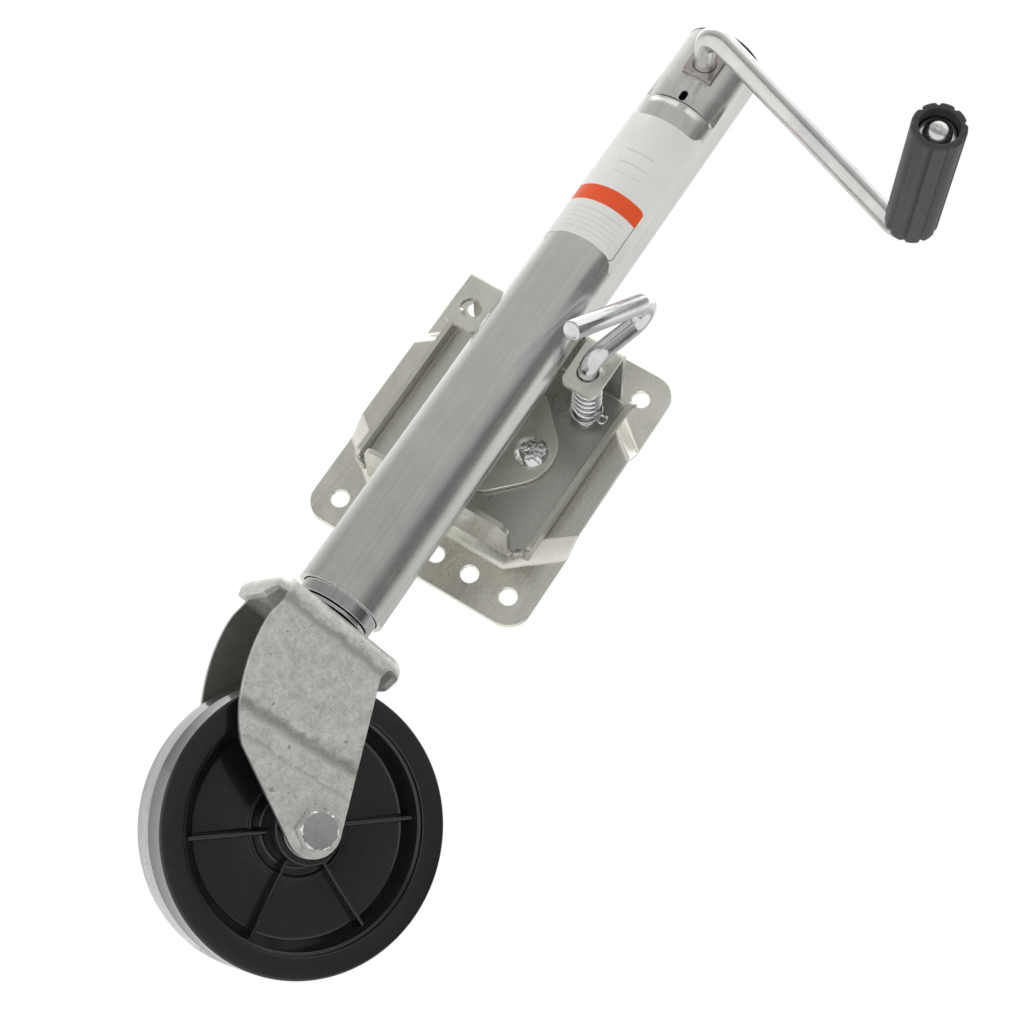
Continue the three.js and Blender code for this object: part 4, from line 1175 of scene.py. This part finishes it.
def softbox(name, position, target, size, power, colour=(1, 1, 1)):
    light = bpy.data.lights.new(name, "AREA")
    light.shape = "RECTANGLE"
    light.size, light.size_y = size
    light.energy = power
    light.color = colour
    obj = add_object(name, light)
    obj.location = position
    obj.rotation_euler = (Vector(target) - Vector(position)).to_track_quat("-Z", "Y").to_euler()


# The room's brightness by bearing, in degrees from the crank's side: brightest behind the left, plain
# in front, with a dark gap at the right and a panel behind it.
PANELS = ((-180, 0.4), (-145, 0.7), (-85, 0.3), (45, 0.3), (70, 0.1), (95, 0.1), (115, 0.45), (145, 0.45),
          (180, 0.4))
# The same by the sine of the height: a fairly bright floor, dimmer walls and a bright ceiling.
HEIGHTS = ((-1.0, 0.9), (0.0, 0.6), (0.2, 0.6), (0.4, 1.0), (0.65, 1.0), (0.8, 2.0), (1.0, 2.0))
ROOM_STRENGTH = 2.0
FLOOR_Z = -0.62
FLOOR_HALF = 12.0


def pale_floor():
    mesh = bpy.data.meshes.new("floor")
    corners = [(x * FLOOR_HALF, y * FLOOR_HALF, FLOOR_Z) for x, y in ((-1, -1), (1, -1), (1, 1), (-1, 1))]
    mesh.from_pydata(corners, [], [(0, 1, 2, 3)])
    n = Paint("pale_floor")
    n.set(Base_Color=n.mix(n.noise(2.0), rgb(0.86, 0.86, 0.86), rgb(0.9, 0.9, 0.9)), Roughness=0.9)
    mesh.materials.append(n.material)
    add_object("floor", mesh)


def light_room():
    """Lights the object from soft panels all round; the camera itself sees plain white."""
    world = bpy.data.worlds.new("studio")
    bpy.context.scene.world = world
    world.use_nodes = True
    n = Nodes(world.node_tree, "Generated")

    def ramp(value, low, high, stops):
        node = n.add("ShaderNodeValToRGB")
        n.link(value, node.inputs[0])
        elements = node.color_ramp.elements
        while len(elements) < len(stops):
            elements.new(0.5)
        for element, (place, level) in zip(elements, stops):
            element.position = (place - low) / (high - low)
            element.color = rgb(level, level, 0.99 * level)
        return node.outputs["Color"]
    x, y, z = n.axes()
    bearing = n.math("ARCTAN2", x, n.times(y, -1.0))
    around = ramp(n.plus(n.math("DIVIDE", bearing, TAU), 0.5), -180, 180, PANELS)
    above = ramp(n.plus(n.times(z, 0.5), 0.5), -1, 1, HEIGHTS)
    room = n.tree.nodes["Background"]
    room.inputs["Strength"].default_value = ROOM_STRENGTH
    n.link(n.mix(1.0, around, above, "MULTIPLY"), room.inputs["Color"])
    white = n.add("ShaderNodeBackground")
    white.inputs["Color"].default_value = rgb(1, 1, 1)
    mix = n.add("ShaderNodeMixShader")
    n.link(n.add("ShaderNodeLightPath").outputs["Is Camera Ray"], mix.inputs[0])
    n.link(room.outputs[0], mix.inputs[1])
    n.link(white.outputs[0], mix.inputs[2])
    n.link(mix.outputs[0], n.tree.nodes["World Output"].inputs["Surface"])


def studio():
    pale_floor()
    bpy.context.scene.view_settings.view_transform = "Standard"
    light_room()
    centre = (0.02, -0.06, 0.0)
    softbox("key", (-1.2, 0.2, 1.9), centre, (1.2, 1.4), 6)
    softbox("side", (1.6, 0.3, 1.2), centre, (0.6, 1.3), 1, (1.0, 0.98, 0.94))


# ---- assembly
def repaint():
    """Gives each CAD node that keeps its own mesh a finished material."""
    for name, obj in frame["nodes"].items():
        obj.data.materials.clear()
        obj.data.materials.append(MATERIALS[SLOTS[name]])


repaint()
mount_plate()
retainer()
rivet("right", 1)
rivet("left", -1)
swivel_bracket()
welds()
outer_tube()
label_sheet()
top_cap()
crank_bush()
crank_rod()
grip()
lock_pin()
cotter()
lock_spring()
leg_pieces()
caster_fork()
caster_wheel()
axle_set()
look_from(aim=(0.045, -0.06, -0.051), bearing=13.6, height=-19.1, roll=34.4, distance=1.148, lens=74.5)
studio()
